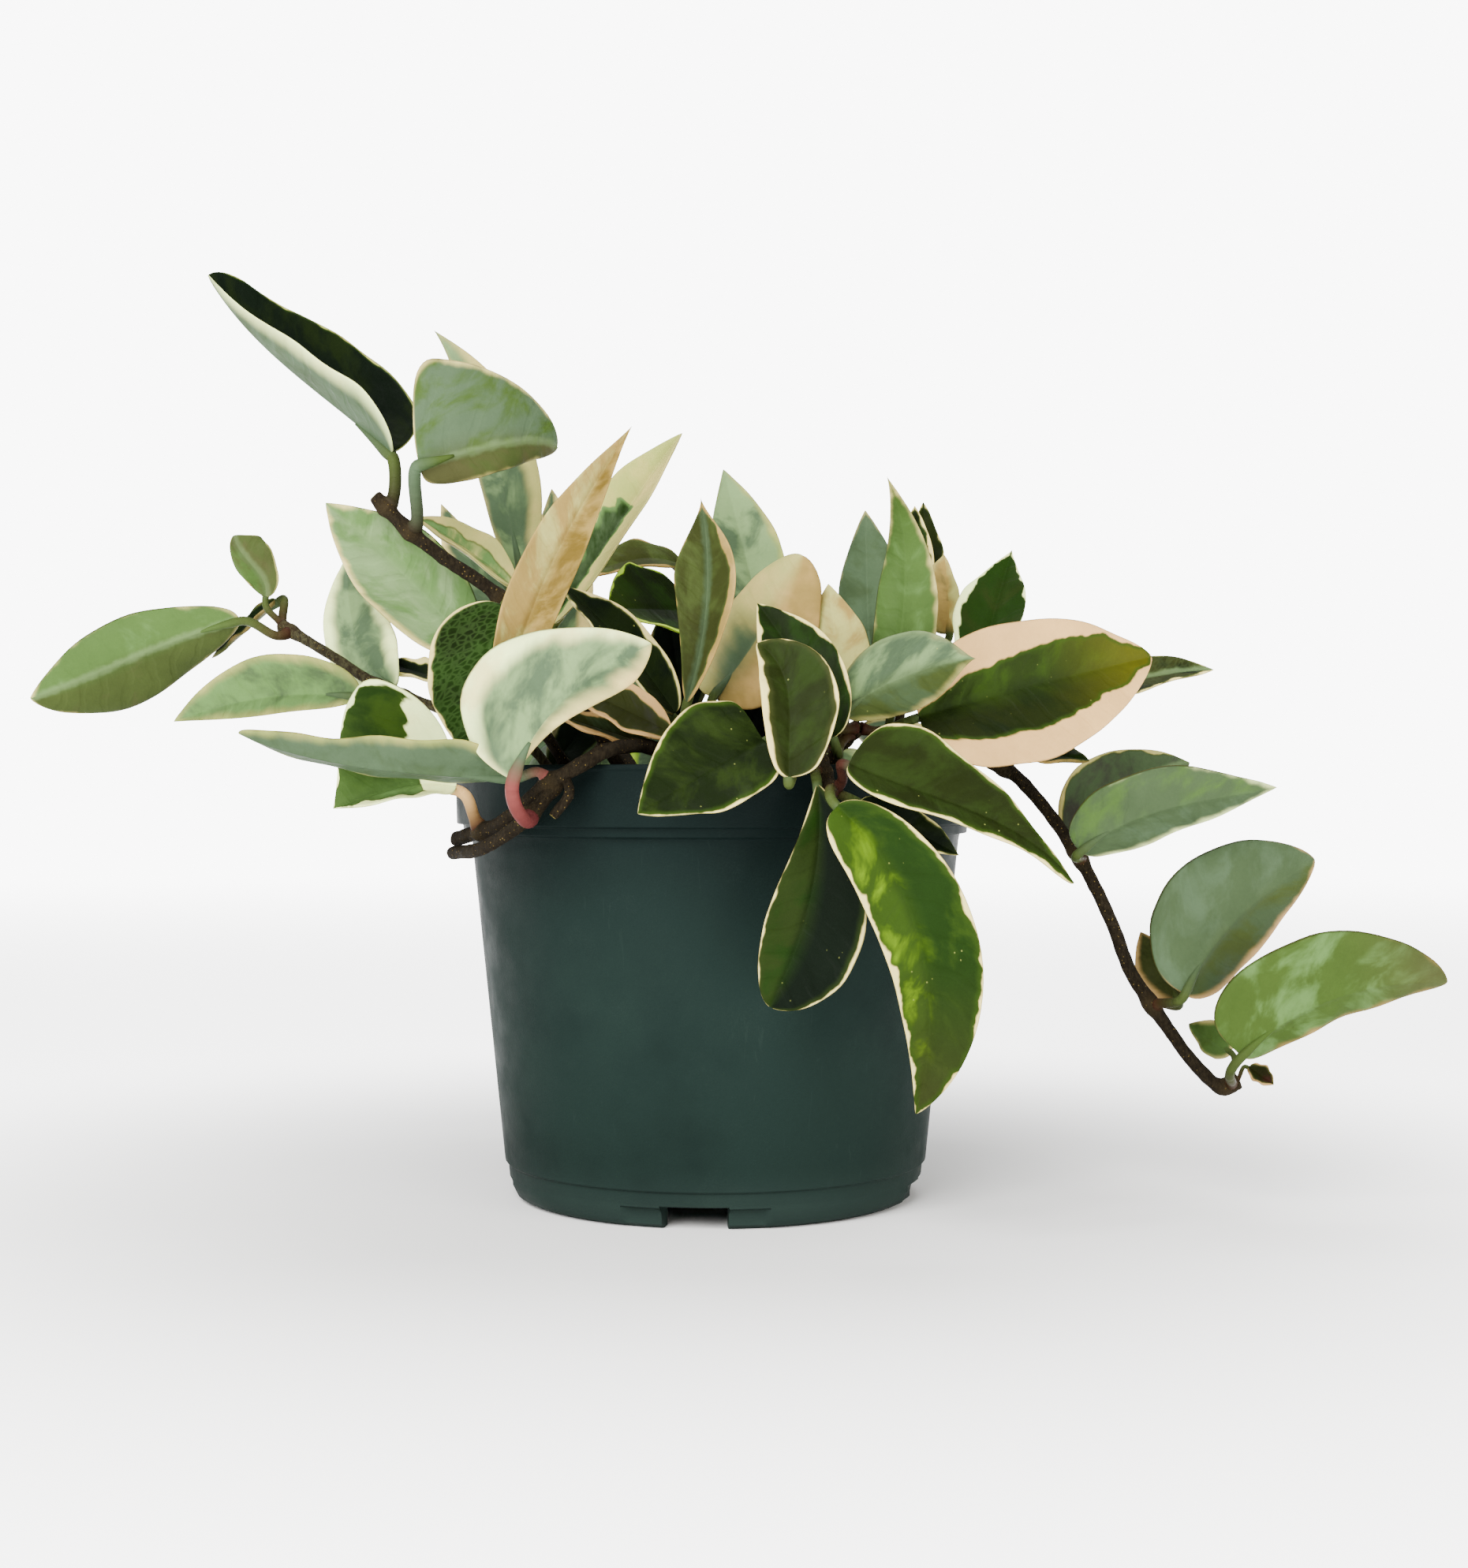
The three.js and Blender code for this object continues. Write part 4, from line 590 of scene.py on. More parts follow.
class Nodes:
    """A material's node tree, with a short call for each kind of node."""

    def __init__(self, name):
        self.material = bpy.data.materials.new(name)
        self.material.use_nodes = True
        self.tree = self.material.node_tree
        self.shader = self.tree.nodes["Principled BSDF"]

    def put(self, socket, value):
        if isinstance(value, bpy.types.NodeSocket):
            self.tree.links.new(value, socket)
        elif value is not None:
            socket.default_value = value

    def add(self, kind, output, inputs, **settings):
        """Adds a node, with its settings and inputs, and returns one of its outputs."""
        node = self.tree.nodes.new("ShaderNode" + kind)
        for name, setting in settings.items():
            setattr(node, name, setting)
        for key, value in inputs.items():
            self.put(node.inputs[key], value)
        return node.outputs[output]

    def math(self, operation, *values):
        return self.add("Math", 0, dict(enumerate(values)), operation=operation)

    def times(self, a, b):
        return self.math("MULTIPLY", a, b)

    def times_plus(self, a, b, c):
        return self.math("MULTIPLY_ADD", a, b, c)

    def centred(self, value):
        return self.math("SUBTRACT", value, 0.5)

    def step(self, *values):
        """A smooth step between the last two values as the first goes from the second to the third."""
        return self.add("MapRange", 0, dict(enumerate(values)), interpolation_type="SMOOTHSTEP")

    def mix(self, amount, a, b):
        """A blend of two colours, each a socket, a bare colour or a palette name."""
        a, b = [(*colour(tint), 1) if isinstance(tint, str) else tint for tint in (a, b)]
        return self.add("Mix", 2, {"Factor": amount, 6: a, 7: b}, data_type="RGBA")

    def noise(self, place, scale, detail=3.0, rough=0.5, distortion=0.0):
        names = ("Vector", "Scale", "Detail", "Roughness", "Distortion")
        return self.add("TexNoise", "Fac", dict(zip(names, (place, scale, detail, rough, distortion))))

    def cells(self, place, scale, feature="F1"):
        return self.add("TexVoronoi", "Distance", {"Vector": place, "Scale": scale}, feature=feature)

    def attribute(self, name):
        output = "Color" if name.endswith("colour") else "Vector"
        return self.add("Attribute", output, {}, attribute_name=name)

    def split(self, vector):
        node = self.tree.nodes.new("ShaderNodeSeparateXYZ")
        self.put(node.inputs[0], vector)
        return node.outputs

    def stretched(self, vector, scale):
        return self.add("Mapping", 0, {"Vector": vector, "Scale": scale})

    def join(self, x, y, z):
        return self.add("CombineXYZ", 0, {0: x, 1: y, 2: z})

    def scaled(self, tint, amount):
        return self.add("VectorMath", 0, {0: tint, "Scale": amount}, operation="SCALE")

    def object_place(self):
        """Object coordinates in millimetres."""
        return self.stretched(self.add("TexCoord", "Object", {}), (1000, 1000, 1000))

    def bump(self, height, distance, strength=1.0):
        return self.add("Bump", 0, {"Height": height, "Distance": distance, "Strength": strength})

    def finish(self, base, roughness, specular, normal=None):
        names = ("Base Color", "Roughness", "Specular IOR Level", "Normal")
        for name, value in zip(names, (base, roughness, specular, normal)):
            self.put(self.shader.inputs[name], value)
        return self.material


def leaf_material():
    n = Nodes("leaf")
    place = n.attribute("place")
    border, patches, outward = n.split(n.attribute("zone"))
    net, specks, blush = n.split(n.attribute("marks"))
    halo_width, stripe, jag = n.split(n.attribute("band"))
    soft = n.split(n.attribute("detail"))[0]
    across, along, part = n.split(place)
    edge = n.attribute("edge_colour")
    off = n.math("ABSOLUTE", across)

    # The pattern runs out and forwards from the midrib, as the side veins do.
    slant = n.times_plus(off, -0.6, along)
    flow = n.join(n.times(across, 0.6), slant, part)
    lobes = n.centred(n.noise(n.stretched(flow, (0.06, 0.13, 1)), 1, 1, 0.4))
    ragged = n.centred(n.noise(n.stretched(flow, (0.15, 0.3, 1)), 1, 2, 0.5))
    depth = n.math("ADD", border, n.times(n.times_plus(lobes, 5, n.times(ragged, 1.5)), jag))
    green = n.step(depth, n.times(soft, -1), soft)

    cloud = n.noise(n.stretched(flow, (0.13, 0.075, 1)), 1, 4, 0.6, 0.4)
    patch = n.step(n.math("ADD", cloud, patches), 0.84, 1.08)
    body = n.mix(patch, n.attribute("core_colour"), n.attribute("patch_colour"))
    inner = n.math("DIVIDE", depth, halo_width)
    body = n.mix(n.step(inner, 0.1, 1.2, 0.85, 0), body, n.attribute("halo_colour"))

    # Fine veins make a faint net, and the side veins a shallow groove in the bump.
    cells = n.cells(n.stretched(flow, (0.8, 0.6, 1)), 1, "DISTANCE_TO_EDGE")
    line = n.times(n.step(cells, 0.02, 0.25, 1, 0), net)
    body = n.mix(n.times(line, 0.22), body, n.attribute("stripe_colour"))
    wave = n.times_plus(slant, 0.75, n.times(n.noise(place, 0.07, 2), 7))
    vein = n.step(n.math("SINE", wave), 0.3, 1)

    # Some blades have a light stripe on the midrib.
    fine = n.centred(n.noise(place, 0.3, 2))
    wide = n.step(n.times_plus(fine, 2, off), 0.4, 2, 1, 0)
    body = n.mix(n.times(wide, stripe), body, n.attribute("stripe_colour"))

    flush = n.step(n.noise(place, 0.07, 3, 0.6), 0.4, 0.65)
    base = n.mix(green, n.mix(n.times(flush, blush), edge, "peach"), body)

    # Pale specks lie on the green, or brown ones where the strength is below zero.
    dots = n.step(n.cells(place, 0.3), 0.04, 0.1, 1, 0)
    dot = n.times(dots, n.step(n.noise(place, 0.12, 1), 0.5, 0.6))
    base = n.mix(n.times(dot, n.math("MAXIMUM", specks, 0)), base, "celery")
    brown = n.math("MAXIMUM", n.times(specks, -0.8), 0)
    base = n.mix(n.times(dot, brown), base, "rust")

    # A thin darker line runs round the very edge.
    base = n.mix(n.times(n.step(outward, 0.98, 1), 0.4), base, "ochre")
    tone = n.times_plus(n.noise(place, 0.07, 3, 0.55), 0.5, 0.75)
    fleck = n.times_plus(n.noise(place, 1.1, 3, 0.6), 0.16, 0.92)
    base = n.scaled(base, n.times(tone, fleck))

    height = n.times_plus(vein, -0.35, n.noise(place, 0.2, 2, 0.5))
    height = n.times_plus(n.noise(place, 1.6, 2), 0.1, height)
    normal = n.bump(height, 0.0006, 0.5)
    return n.finish(base, n.step(n.noise(place, 0.15, 3), 0.3, 0.7, 0.4, 0.52), 0.02, normal)


def stem_material():
    n = Nodes("stem")
    place = n.object_place()
    cut, node, _ = n.split(n.attribute("mark"))
    grain = n.noise(n.stretched(place, (1.1, 1.1, 0.5)), 1, 5, 0.65)
    dark, light = n.attribute("core_colour"), n.attribute("patch_colour")
    base = n.mix(n.step(grain, 0.38, 0.66), dark, light)
    dots = n.step(n.cells(place, 0.7), 0.1, 0.2, 1, 0)
    base = n.mix(n.times(dots, 0.5), base, "tan")
    base = n.mix(n.times(node, 0.4), base, "wood")
    base = n.mix(cut, base, "khaki")
    height = n.times_plus(dots, 0.5, grain)
    height = n.times_plus(n.noise(place, 3, 3, 0.7), 0.6, height)
    return n.finish(base, n.step(grain, 0.3, 0.7, 0.6, 0.9), 0.04, n.bump(height, 0.0007))


def pot_material():
    n = Nodes("pot")
    place = n.object_place()
    haze = n.noise(place, 0.02, 4, 0.55)
    base = n.mix(n.step(haze, 0.2, 0.6, 0.5, 1), "pot_deep_and_shade", "pot")
    height = n.split(place)[2]
    # Painted shade: the pot is painted darker from its middle up to the rim, where the leaves shade it.
    base = n.mix(n.step(height, 60, POT_HEIGHT, 0, 0.85), base, "pot_deep_and_shade")
    # Painted light: the pot is painted lighter near its foot, for the light that the pale floor throws on
    # it.
    base = n.mix(n.step(height, 2, 20, 0.4, 0), base, "pot_dust_and_light")
    dust = n.times(n.noise(place, 2.2, 4, 0.75), n.noise(place, 0.05, 3, 0.6))
    base = n.mix(n.step(dust, 0.28, 0.46, 0, 0.12), base, "pot_dust_and_light")
    streak = n.noise(n.stretched(place, (0.4, 0.4, 0.03)), 1, 3, 0.6, 1.5)
    mark = n.times(n.step(streak, 0.64, 0.7), n.step(haze, 0.45, 0.6))
    base = n.mix(n.times(mark, 0.12), base, "pot_dust_and_light")
    # The moulded edges are painted a little lighter: painted highlights along them.
    base = n.mix(n.times(n.split(n.attribute("mark"))[0], 0.8), base, "pot_dust_and_light")
    relief = n.times_plus(n.noise(place, 0.1, 3), 2, n.noise(place, 1.5, 3, 0.6))
    roughness = n.step(n.noise(place, 0.06, 4, 0.6), 0.3, 0.7, 0.42, 0.56)
    return n.finish(base, roughness, 0.015, n.bump(relief, 0.0001, 0.5))


def mix_material():
    n = Nodes("potting_mix")
    place = n.object_place()
    wet = n.step(n.noise(place, 0.9, 5, 0.7), 0.3, 0.7, 0, 0.7)
    base = n.mix(wet, n.attribute("core_colour"), WET_MIX)
    return n.finish(base, 0.95, 0.5, n.bump(n.noise(place, 1.8, 4, 0.7), 0.0008))


# ---- stems


class Stem:
    """A stem's paths with their radii, and the places where stalks meet it."""

    def __init__(self, name, radius, path, branches=()):
        self.name = name
        x, y, _ = path[0]
        whole = [(x, y, ROOT_END), (x, y, ROOT_STRAIGHT), *path]
        self.lines = [(smooth_path(points), r) for r, points in ((radius, whole), *branches)]
        self.joints = []

    def nearest(self, place):
        """The nearest point on the stem, its radius and its direction there."""
        found = []
        for points, radius in self.lines:
            gaps = np.linalg.norm(points - place, axis=1)
            i = int(gaps.argmin())
            found.append((gaps[i], points[i], radius, directions(points)[i]))
        return min(found, key=lambda near: near[0])[1:]

    def build(self, material):
        rng = np.random.default_rng(sum(map(ord, self.name)))
        shape = Shape()
        dark, light = [colour(tone) for tone in BARK.get(self.name, USUAL_BARK)]
        for path, radius in self.lines:
            points = even(path, STEM_STEP)
            # The stem swells where a leaf stalk leaves it.
            knot = np.zeros(len(points))
            for joint in self.joints:
                gap = np.linalg.norm(points - joint, axis=1)
                knot = np.maximum(knot, np.exp(-((gap / KNOT_LENGTH) ** 2)))
            uneven = 1 + 0.06 * smooth_noise(rng, len(points), 1, 6)[:, 0]
            radii = radius * (1 + KNOT_SWELL * knot) * uneven
            radii[-1] *= 0.93
            wobble = 1 + 0.1 * smooth_noise(rng, len(points), STEM_SIDES, 2)
            rings = tube_rings(points, radii, STEM_SIDES, wobble)
            mark = knot[:, None, None] * (0, 1, 0)
            shape.loft(rings, core_colour=dark, patch_colour=light, mark=mark)
            # The cut end shows paler wood with a hollow in its middle.
            along = directions(points)[-1]
            end = np.array([points[-1] + along * s for s in (-0.4, 0.25, 0.3, -0.1)])
            face = tube_rings(end, radius * np.array([0.8, 0.8, 0.42, 0.3]), STEM_SIDES)
            shape.loft(face, core_colour=colour("khaki"), patch_colour=colour("tan"), mark=(0.5, 0, 0))
        piece = shape.piece(self.name, material, "stem")
        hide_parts(self.name)


# ---- leaves


def as_pair(value):
    return value if isinstance(value, tuple) else (value, value)


def of_half(value, v):
    """A setting at each v: one for the whole blade, or one for v below zero and one for above."""
    return np.where(v < 0, *as_pair(value))


def half_colours(names, v):
    """The colours at each v, blended over the midrib where the halves differ."""
    low, high = as_pair(names)
    share = np.clip(v[..., None] * HALF_BLEND + 0.5, 0, 1)
    return colour(low) * (1 - share) + colour(high) * share


def blade_width(t, widest, heel, point):
    """How wide the blade is along its length: 0 at both ends and 1 at its widest."""
    shifted = t ** (math.log(0.5) / np.log(widest))
    return np.sin(math.pi * shifted).clip(0) ** (heel + (point - heel) * t)


def midrib(leaf):
    """The control points of the midrib's curve, and the way that it leaves the stalk."""
    base, tip, face = [np.array(leaf[key], float) for key in ("base", "tip", "face")]
    length = np.linalg.norm(tip - base)
    chord = unit(tip - base)
    up = square_to(face, chord)
    side = np.cross(chord, up)
    leave, arrive = [
        unit(turned_towards(turned_towards(chord, up, sign * bend), side, sign * sweep))
        for sign, bend, sweep in zip((1, -1), as_pair(leaf["bend"]), as_pair(leaf["sweep"]))
    ]
    reach = BLADE_REACH * length
    return (base, base + leave * reach, tip - arrive * reach, tip), leave, length


def blade_surface(leaf, control, t, v, wander):
    """The blade's middle surface at each t along the midrib and each v across it, from -1 to 1."""
    place, along = cubic(control, t)
    up = square_to(np.array(leaf["face"], float), along)
    side = np.cross(along, up)
    shape = blade_width(t[:, None], *(of_half(leaf[key], v) for key in ("widest", "heel", "point")))
    half = shape * leaf["width"] / 2 * of_half(leaf["halves"], v) * wander
    first = np.radians(of_half(leaf["fold"], v))
    turn = np.radians(np.maximum(of_half(leaf["cup"], v), 1))
    last = first + turn * np.abs(v)
    out = half * (np.sin(last) - np.sin(first)) / turn
    rise = half * (np.cos(first) - np.cos(last)) / turn
    points = place[:, None] + side[:, None] * (np.sign(v) * out)[..., None] + up[:, None] * rise[..., None]
    return points, up, shape, half


def add_blade(shape, leaf, rng, seed):
    """Adds the blade, and returns its midrib's curve, the way that it starts and its length."""
    control, leave, length = midrib(leaf)
    t = 0.5 - 0.5 * np.cos(np.linspace(0, math.pi, BLADE_ROWS + 1))[1:-1]
    v = np.concatenate([[-1], -np.array(ACROSS)[:0:-1], ACROSS, [1]])
    # A ring runs over the upper face and back under it: facing is 1 above, -1 below, 0 at the margins.
    facing = np.concatenate([np.ones(len(v)), -np.ones(len(v) - 2)])
    facing[0] = facing[len(v) - 1] = 0
    v = np.concatenate([v, v[-2:0:-1]])
    run = t[:, None]

    wander = [smooth_noise(rng, len(t), 1, 5) * 0.03 + 1 for _ in range(2)]
    points, up, widths, half = blade_surface(leaf, control, t, v, np.where(v < 0, *wander))
    a = np.abs(v)

    # The margin ripples a little, in its own way on each half.
    phase = rng.uniform(0, 2 * math.pi, 2)
    beats = rng.uniform(1.6, 3.2, 2)
    waves = np.sin(2 * math.pi * beats * run + phase)
    ripple = np.where(v < 0, waves[:, :1], waves[:, 1:])
    ripple = ripple * a**2.5 * np.sin(math.pi * run) ** 0.5 * RIPPLE

    # A groove along the midrib above, a ridge below, and a round margin.
    across = a * half
    filled = np.minimum(1, widths / END_TAPER)
    thick = BLADE_THICKNESS / 2 * (1 - a**7) ** 0.5 * filled**0.6
    groove = GROOVE_DEPTH * np.exp(-((across / GROOVE_WIDTH) ** 2)) * filled
    ridge = RIDGE_HEIGHT * np.exp(-((across / RIDGE_WIDTH) ** 2)) * (1 - run) ** 0.8
    lift = np.where(facing > 0, thick - groove, np.where(facing < 0, -thick - ridge, 0))
    pattern = blade_pattern(leaf, v, run, half, facing, length, seed)
    shape.loft(points + up[:, None] * (ripple + lift)[..., None], **pattern)
    return control, leave, length


def blade_pattern(leaf, v, run, half, facing, length, seed):
    """The attributes that draw the pattern, in the blade's own flat coordinates, in millimetres."""
    full = (len(run), len(v))
    a = np.abs(v)
    share = of_half(leaf["rim"], v) + of_half(leaf["drift"], v) * (2 * run - 1)
    start, end = leaf["span"]
    border = (share - a) * np.maximum(half, 1)
    border = np.minimum(border, np.minimum(run - start, end - run) * length)
    flat_v = np.broadcast_to(v, full)
    under = np.broadcast_to(facing < 0, full)[..., None]
    core, patch = [
        np.where(under, half_colours(below, flat_v), half_colours(above, flat_v))
        for below, above in zip(leaf["under"], leaf["top"])
    ]
    if leaf["tip_tone"]:
        turned = (np.clip((run - 0.5) / 0.42, 0, 1) ** 1.5 * 0.8)[..., None]
        core, patch = [tint * (1 - turned) + colour(leaf["tip_tone"]) * turned for tint in (core, patch)]
    halo_tone, halo_width = leaf["halo"]
    return dict(
        place=spread(full, v * half, run * length, seed * PATTERN_SHIFT),
        zone=spread(full, border, leaf["patch"], a),
        marks=(leaf["net"], leaf["specks"], leaf["blush"]),
        band=(halo_width, leaf["stripe"], leaf["jag"]),
        detail=spread(full, np.where(facing < 0, leaf["soft"][1], leaf["soft"][0]), 0, 0),
        core_colour=core,
        patch_colour=patch,
        edge_colour=half_colours(leaf["edge"], flat_v),
        halo_colour=np.where(under, core * 0.6 + colour(halo_tone) * 0.4, colour(halo_tone)),
        stripe_colour=colour(leaf["stripe_tone"]),
    )


def add_stalk(shape, leaf, stem, control, leave, length, seed):
    """The stalk leaves its stem square to it, then runs on under the blade and thins out."""
    base = control[0]
    point, radius, along = stem.nearest(np.array(leaf["root"], float))
    stem.joints.append(point)
    out = np.array(leaf["out"] or base - point, float)
    away = unit(out) if leaf["joined"] else square_to(out, along)
    start = point + away * (0 if leaf["joined"] else radius + GAP)
    reach = leaf["reach"] * np.linalg.norm(base - start)
    thin = STALK_RADIUS * leaf["girth"] * min(1, length / SHORT_BLADE + 0.25)
    face = np.array(leaf["face"], float)
    end = base - square_to(face, leave) * thin * 0.8
    stalk_t = np.linspace(0, 1, STALK_ROWS)
    stalk, _ = cubic((start, start + away * reach, end - leave * reach, end), stalk_t)
    under, ahead = cubic(control, np.linspace(0, FIN_REACH, FIN_ROWS + 1)[1:])
    under = under - square_to(face, ahead) * thin * np.linspace(0.9, 0.6, FIN_ROWS)[:, None]
    path = np.vstack([start - away * STALK_SUNK, stalk, under])
    s = np.linspace(0, 1, len(path))
    radii = thin * (1 + 0.45 * np.exp(-((s / 0.08) ** 2)))
    radii[-FIN_ROWS:] *= np.linspace(1, 0.25, FIN_ROWS)
    near, far = leaf["stalk"]
    blade = half_colours(leaf["under"][0], np.zeros(1))
    tint = colour(far)
    for other, first, last in ((colour(near), 0.6, 0), (blade, 0.7, 0.9)):
        fade = np.clip((s - first) / (last - first), 0, 1)[:, None, None]
        tint = tint * (1 - fade) + other * fade
    same = dict.fromkeys(("core_colour", "edge_colour", "halo_colour", "stripe_colour"), tint)
    shape.loft(
        tube_rings(path, radii, STALK_SIDES),
        place=spread((len(s), STALK_SIDES), 4, (s * 40)[:, None], seed * PATTERN_SHIFT + 9),
        zone=(30, 0.1, 0),
        marks=(0, 0, 0),
        band=(1, 0, 0),
        detail=(1, 0, 0),
        patch_colour=tint * 0.75,
        **same,
    )


def make_leaf(leaf, stems, material, seed):
    shape = Shape()
    blade = add_blade(shape, leaf, np.random.default_rng(seed), seed)
    add_stalk(shape, leaf, stems[leaf["stem"]], *blade, seed)
    node = "leaf_" + leaf["name"]
    if leaf["joined"]:
        shape.piece(node, material, "leaf_green")
    else:
        piece = shape.piece(node + "_blade", material, SLOTS[node])
        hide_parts(node)


# ---- pot


def rounded(points, radius=0.45, steps=3):
    """The outline with each inner corner rounded off."""
    p = [np.array(q, float) for q in points]
    found = [p[0]]
    for before, corner, after in zip(p, p[1:], p[2:]):
        reach = min(radius, *(0.45 * np.linalg.norm(q - corner) for q in (before, after)))
        a = corner + unit(before - corner) * reach
        b = corner + unit(after - corner) * reach
        for u in np.linspace(0, 1, steps + 1):
            found.append(a * (1 - u) ** 2 + corner * 2 * u * (1 - u) + b * u**2)
    return np.array([*found, p[-1]])


def turned_round(angle, radius, height):
    """The place at an angle from the pot's front."""
    return radius * math.sin(angle), -radius * math.cos(angle), height


def lathe(outline, sides):
    """The points and faces of an outline turned round the z axis."""
    radius, height = outline.T
    points = []
    for i in range(sides):
        points.append(np.stack(turned_round(i * 2 * math.pi / sides, radius, height), 1))
    count = len(outline)
    faces = []
    for i in range(sides):
        k = (i + 1) % sides
        for j in range(count - 1):
            faces.append((i * count + j, k * count + j, k * count + j + 1, i * count + j + 1))
    return np.concatenate(points), faces


def outer_radius(height):
    heights = (0, 1.4, 5, LEDGE_HEIGHT)
    return np.interp(height, heights, (FOOT_RADIUS, 63.4, 65.2, BODY_BOTTOM_RADIUS - 1))


def make_pot_body(material):
    floor = FLOOR_HEIGHT
    outline = rounded([
        (0.01, floor),
        (outer_radius(floor), floor),
        (BODY_BOTTOM_RADIUS - 1, LEDGE_HEIGHT),
        (BODY_BOTTOM_RADIUS, LEDGE_HEIGHT + 0.4),
        (BODY_TOP_RADIUS, STEP_BOTTOM - 2),
        (BODY_TOP_RADIUS + 0.4, STEP_BOTTOM),
        (BODY_TOP_RADIUS + 2.6, STEP_BOTTOM + 0.3),
        (BODY_TOP_RADIUS + 2.8, RIM_BAND_BOTTOM),
        (RIM_RADIUS - 0.8, RIM_BAND_BOTTOM + 0.3),
        (RIM_RADIUS - 0.4, POT_HEIGHT - 2),
        (RIM_RADIUS, POT_HEIGHT - 1.4),
        (RIM_RADIUS - 0.2, POT_HEIGHT),
        (RIM_RADIUS - 0.2 - WALL, POT_HEIGHT),
        (RIM_RADIUS - 0.8 - WALL, RIM_BAND_BOTTOM + WALL),
        (BODY_TOP_RADIUS + 2.8 - WALL, STEP_BOTTOM + WALL),
        (BODY_TOP_RADIUS - WALL, STEP_BOTTOM),
        (BODY_BOTTOM_RADIUS - WALL, LEDGE_HEIGHT + 2.6),
        (63.6, floor + WALL + 1.5),
        (60, floor + WALL),
        (0.01, floor + WALL),
    ])
    shape = Shape()
    points, faces = lathe(outline, POT_SIDES)
    # Thin painted highlights run round the moulded edges.
    painted_highlight = sum(np.exp(-(((points[:, 2:] - z) / PAINTED_HIGHLIGHT_WIDTH) ** 2)) for z in PAINTED_HIGHLIGHT_HEIGHTS)
    shape.add(points, faces, mark=painted_highlight.clip(0, 1) * (1, 0, 0))
    return shape.piece("pot_body", material, "pot", sharp=40)


def make_pot_foot(material):
    """Four arcs between the drain notches, with a shallow recess round each notch."""
    feet = Shape()
    top = FLOOR_HEIGHT + 0.4
    notch = math.asin(DRAIN_WIDTH / 2 / FOOT_RADIUS)
    heights = np.array([0, 0.25, 1.4, 3, 5, 6.2, 6.7, top])
    lip = np.clip((6.6 - heights) / 0.5, 0, 1) * np.clip(heights / 4, 0, 1)
    foot_inside = FOOT_RADIUS - FOOT_WIDTH
    inner = [(foot_inside - 1, top), (foot_inside, 0.25), (foot_inside + 0.3, 0)]
    for k in range(DRAIN_COUNT):
        rings = []
        for turn in np.linspace(notch, DRAIN_SPACING - notch, 61):
            gap = FOOT_RADIUS * min(turn, DRAIN_SPACING - turn)
            inset = RECESS_DEPTH * np.clip((RECESS_WIDTH / 2 - gap) / 1.2 + 0.5, 0, 1)
            radii = np.maximum(outer_radius(heights) - inset * lip, FOOT_RADIUS)
            radii[0] = FOOT_RADIUS - 0.3
            angle = DRAIN_TURN + k * DRAIN_SPACING + turn
            rings.append([turned_round(angle, r, z) for r, z in (*inner, *zip(radii, heights))])
        feet.loft(np.array(rings), mark=(0, 0, 0))
    feet.piece("pot_foot", material, "pot", sharp=40)


def cut_drain_holes(pot):
    """Cuts the slots through the pot's floor, just inside its foot."""
    cutter = Shape()
    across, deep = (size / 2 for size in DRAIN_HOLE)
    corners = ((-1, -1), (1, -1), (1, 1), (-1, 1))
    for k in range(DRAIN_COUNT):
        turn = DRAIN_TURN + k * DRAIN_SPACING
        out = np.array(turned_round(turn, 1, 0))
        side = np.array([math.cos(turn), math.sin(turn), 0])
        ring = np.array([out * (DRAIN_HOLE_RADIUS + b * deep) + side * a * across for a, b in corners])
        cutter.loft(np.array([ring + (0, 0, FLOOR_HEIGHT + z) for z in (-3, 5)]))
    tool = add_object("drain_cutter", make_mesh("drain_cutter", cutter.points, cutter.faces))
    cut = pot.modifiers.new("drains", "BOOLEAN")
    cut.object = tool
    cut.solver = "EXACT"
    bpy.context.view_layer.update()
    done = bpy.data.meshes.new_from_object(pot.evaluated_get(bpy.context.evaluated_depsgraph_get()))
    pot.modifiers.clear()
    pot.data = done
    bpy.data.objects.remove(tool)


def make_pot(material):
    pot = make_pot_body(material)
    cut_drain_holes(pot)
    make_pot_foot(material)
    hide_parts("pot")


# ---- potting mix


def soil_height(radius):
    return np.interp(radius, (0, 50, RIM_RADIUS - 3.2), (SOIL_TOP, SOIL_TOP, SOIL_EDGE_TOP))


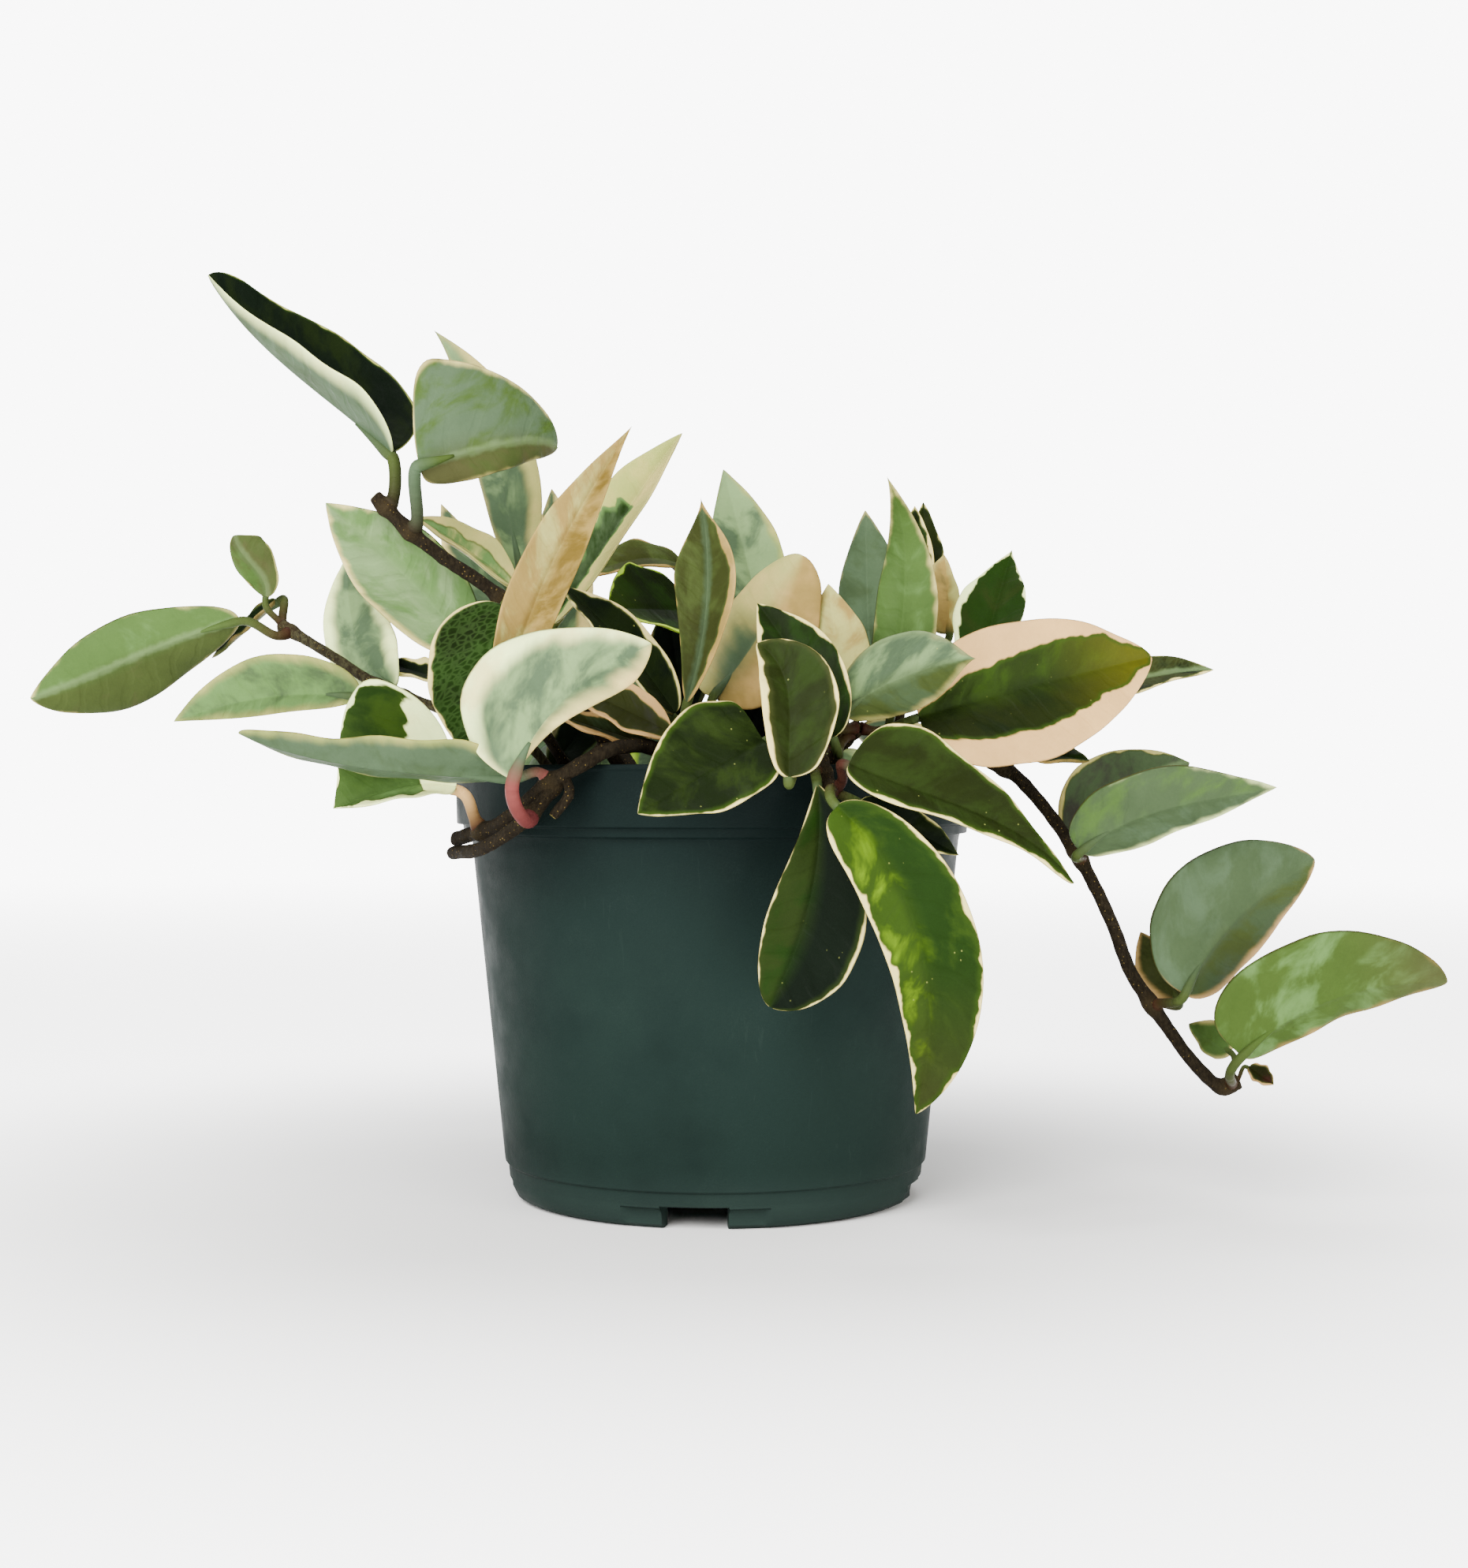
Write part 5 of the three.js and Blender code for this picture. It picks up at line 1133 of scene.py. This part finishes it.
def make_mix(material):
    rng = np.random.default_rng(5)
    shape = Shape()
    top = np.linspace(1.2, SOIL_RADIUS, SOIL_ROWS)
    radii = np.concatenate([top, [77.4, 75.3, 64.6, 60]])
    heights = np.concatenate([soil_height(top) - 0.6, [SOIL_EDGE_TOP - 2, STEP_BOTTOM - 1, 14.5, 9]])
    rough = smooth_noise(rng, len(radii), SOIL_SIDES, 2) * 0.9
    rough[SOIL_ROWS:] = 0
    angles = np.arange(SOIL_SIDES) * 2 * math.pi / SOIL_SIDES
    reach = radii[:, None]
    rings = np.stack([reach * np.cos(angles), reach * np.sin(angles), heights[:, None] + rough], -1)
    tones = np.array(CRUMB_TONES)[rng.integers(0, 3, (len(radii), SOIL_SIDES))]
    shape.loft(rings, core_colour=tones)

    # Loose crumbs, chips of bark and grains of perlite lie on top.
    ring = (np.arange(6) * math.pi / 3)[:, None]
    for _ in range(CRUMBS):
        reach = SOIL_RADIUS * math.sqrt(rng.uniform(0.0005, 1))
        turn = rng.uniform(0, 2 * math.pi)
        middle = np.array([reach * math.cos(turn), reach * math.sin(turn), soil_height(reach) - 0.1])
        white = rng.uniform() < PERLITE_SHARE
        size = rng.uniform(0.7, 1.3) if white else rng.uniform(0.6, 2.1)
        flat = rng.uniform(0.35, 0.9)
        long = unit(np.append(rng.normal(size=2), 0.4 * rng.normal()))
        wide = square_to(np.array([0.1, 0.2, 1.0]), long)
        circle = np.cos(ring) * np.cross(long, wide) + np.sin(ring) * wide * flat
        crumb = []
        for s, grow in ((-0.8, 0.55), (0, 1), (0.8, 0.5)):
            jitter = rng.uniform(0.75, 1.15, 6)[:, None] * size * grow
            crumb.append(middle + long * s * size * rng.uniform(0.9, 1.6) + circle * jitter)
        tone = PERLITE if white else CRUMB_TONES[rng.integers(0, 4)]
        shape.loft(np.array(crumb), core_colour=tone)
    piece = shape.piece("potting_mix_surface", material, "potting_mix", sharp=50)
    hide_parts("potting_mix")


# ---- studio


def area_light(name, place, size, watts, tint):
    """A round soft light that looks at the middle of the plant."""
    lamp = bpy.data.lights.new(name, "AREA")
    lamp.shape = "DISK"
    lamp.size = size
    lamp.energy = watts
    lamp.color = tint
    ob = add_object(name, lamp)
    ob.location = place
    x, y, z = np.array(AIM) - place
    ob.rotation_euler = (math.pi / 2 + math.atan2(z, math.hypot(x, y)), 0, math.atan2(-x, y))


def make_floor():
    """A pale floor that fades to white far from the object, so that no horizon shows."""
    n = Nodes("floor")
    apart = n.add("VectorMath", "Value", {0: n.object_place()}, operation="LENGTH")
    near = n.step(apart, 110, 420, 0, FLOOR_NEAR)
    far = n.math("ADD", near, n.step(apart, 450, 2600, 0, BACKGROUND - AMBIENT - FLOOR_NEAR))
    n.put(n.shader.inputs["Emission Color"], (1, 1, 1, 1))
    n.put(n.shader.inputs["Emission Strength"], far)
    corners = [(x * FLOOR_HALF, y * FLOOR_HALF, 0) for x, y in ((-1, -1), (1, -1), (1, 1), (-1, 1))]
    mesh = make_mesh("floor", corners, [(0, 1, 2, 3)])
    mesh.materials.append(n.finish((0.93, 0.93, 0.93, 1), 0.8, 0.2))
    floor = add_object("floor", mesh)


def make_world():
    """White behind the object, and a much dimmer light on it from all round."""
    world = bpy.data.worlds.new("studio")
    world.use_nodes = True
    tree = world.node_tree
    background = tree.nodes["Background"]
    background.inputs["Color"].default_value = (1, 1, 1, 1)
    seen = tree.nodes.new("ShaderNodeLightPath")
    strength = tree.nodes.new("ShaderNodeMapRange")
    strength.inputs["To Min"].default_value = AMBIENT
    strength.inputs["To Max"].default_value = BACKGROUND
    tree.links.new(seen.outputs["Is Camera Ray"], strength.inputs["Value"])
    tree.links.new(strength.outputs[0], background.inputs["Strength"])
    bpy.context.scene.world = world


def make_camera():
    lens = bpy.data.cameras.new("camera")
    lens.sensor_fit = "VERTICAL"
    lens.sensor_height = SENSOR
    lens.lens = FOCAL_PIXELS * SENSOR / PHOTO_HEIGHT
    lens.clip_start = 0.01
    ob = add_object("camera", lens)
    ob.location = [c * MM for c in EYE]
    ob.rotation_euler = (math.pi / 2, 0, 0)
    bpy.context.scene.camera = ob


# ---- assembly

make_camera()
make_floor()
make_world()
area_light("key", (-0.5, -1.1, 0.85), 1.1, 60, (1, 0.99, 0.97))
area_light("fill", (0.9, -0.9, 0.4), 0.9, 17, (1, 0.96, 0.9))
area_light("top", (0.1, 0.35, 1.2), 0.9, 12, (1, 1, 1))
stems = {name: Stem(name, **settings) for name, settings in STEMS.items()}
leaf_look = leaf_material()
for number, settings in enumerate(LEAVES):
    make_leaf(settings, stems, leaf_look, number + 1)
stem_look = stem_material()
for stem in stems.values():
    stem.build(stem_look)
make_pot(pot_material())
make_mix(mix_material())
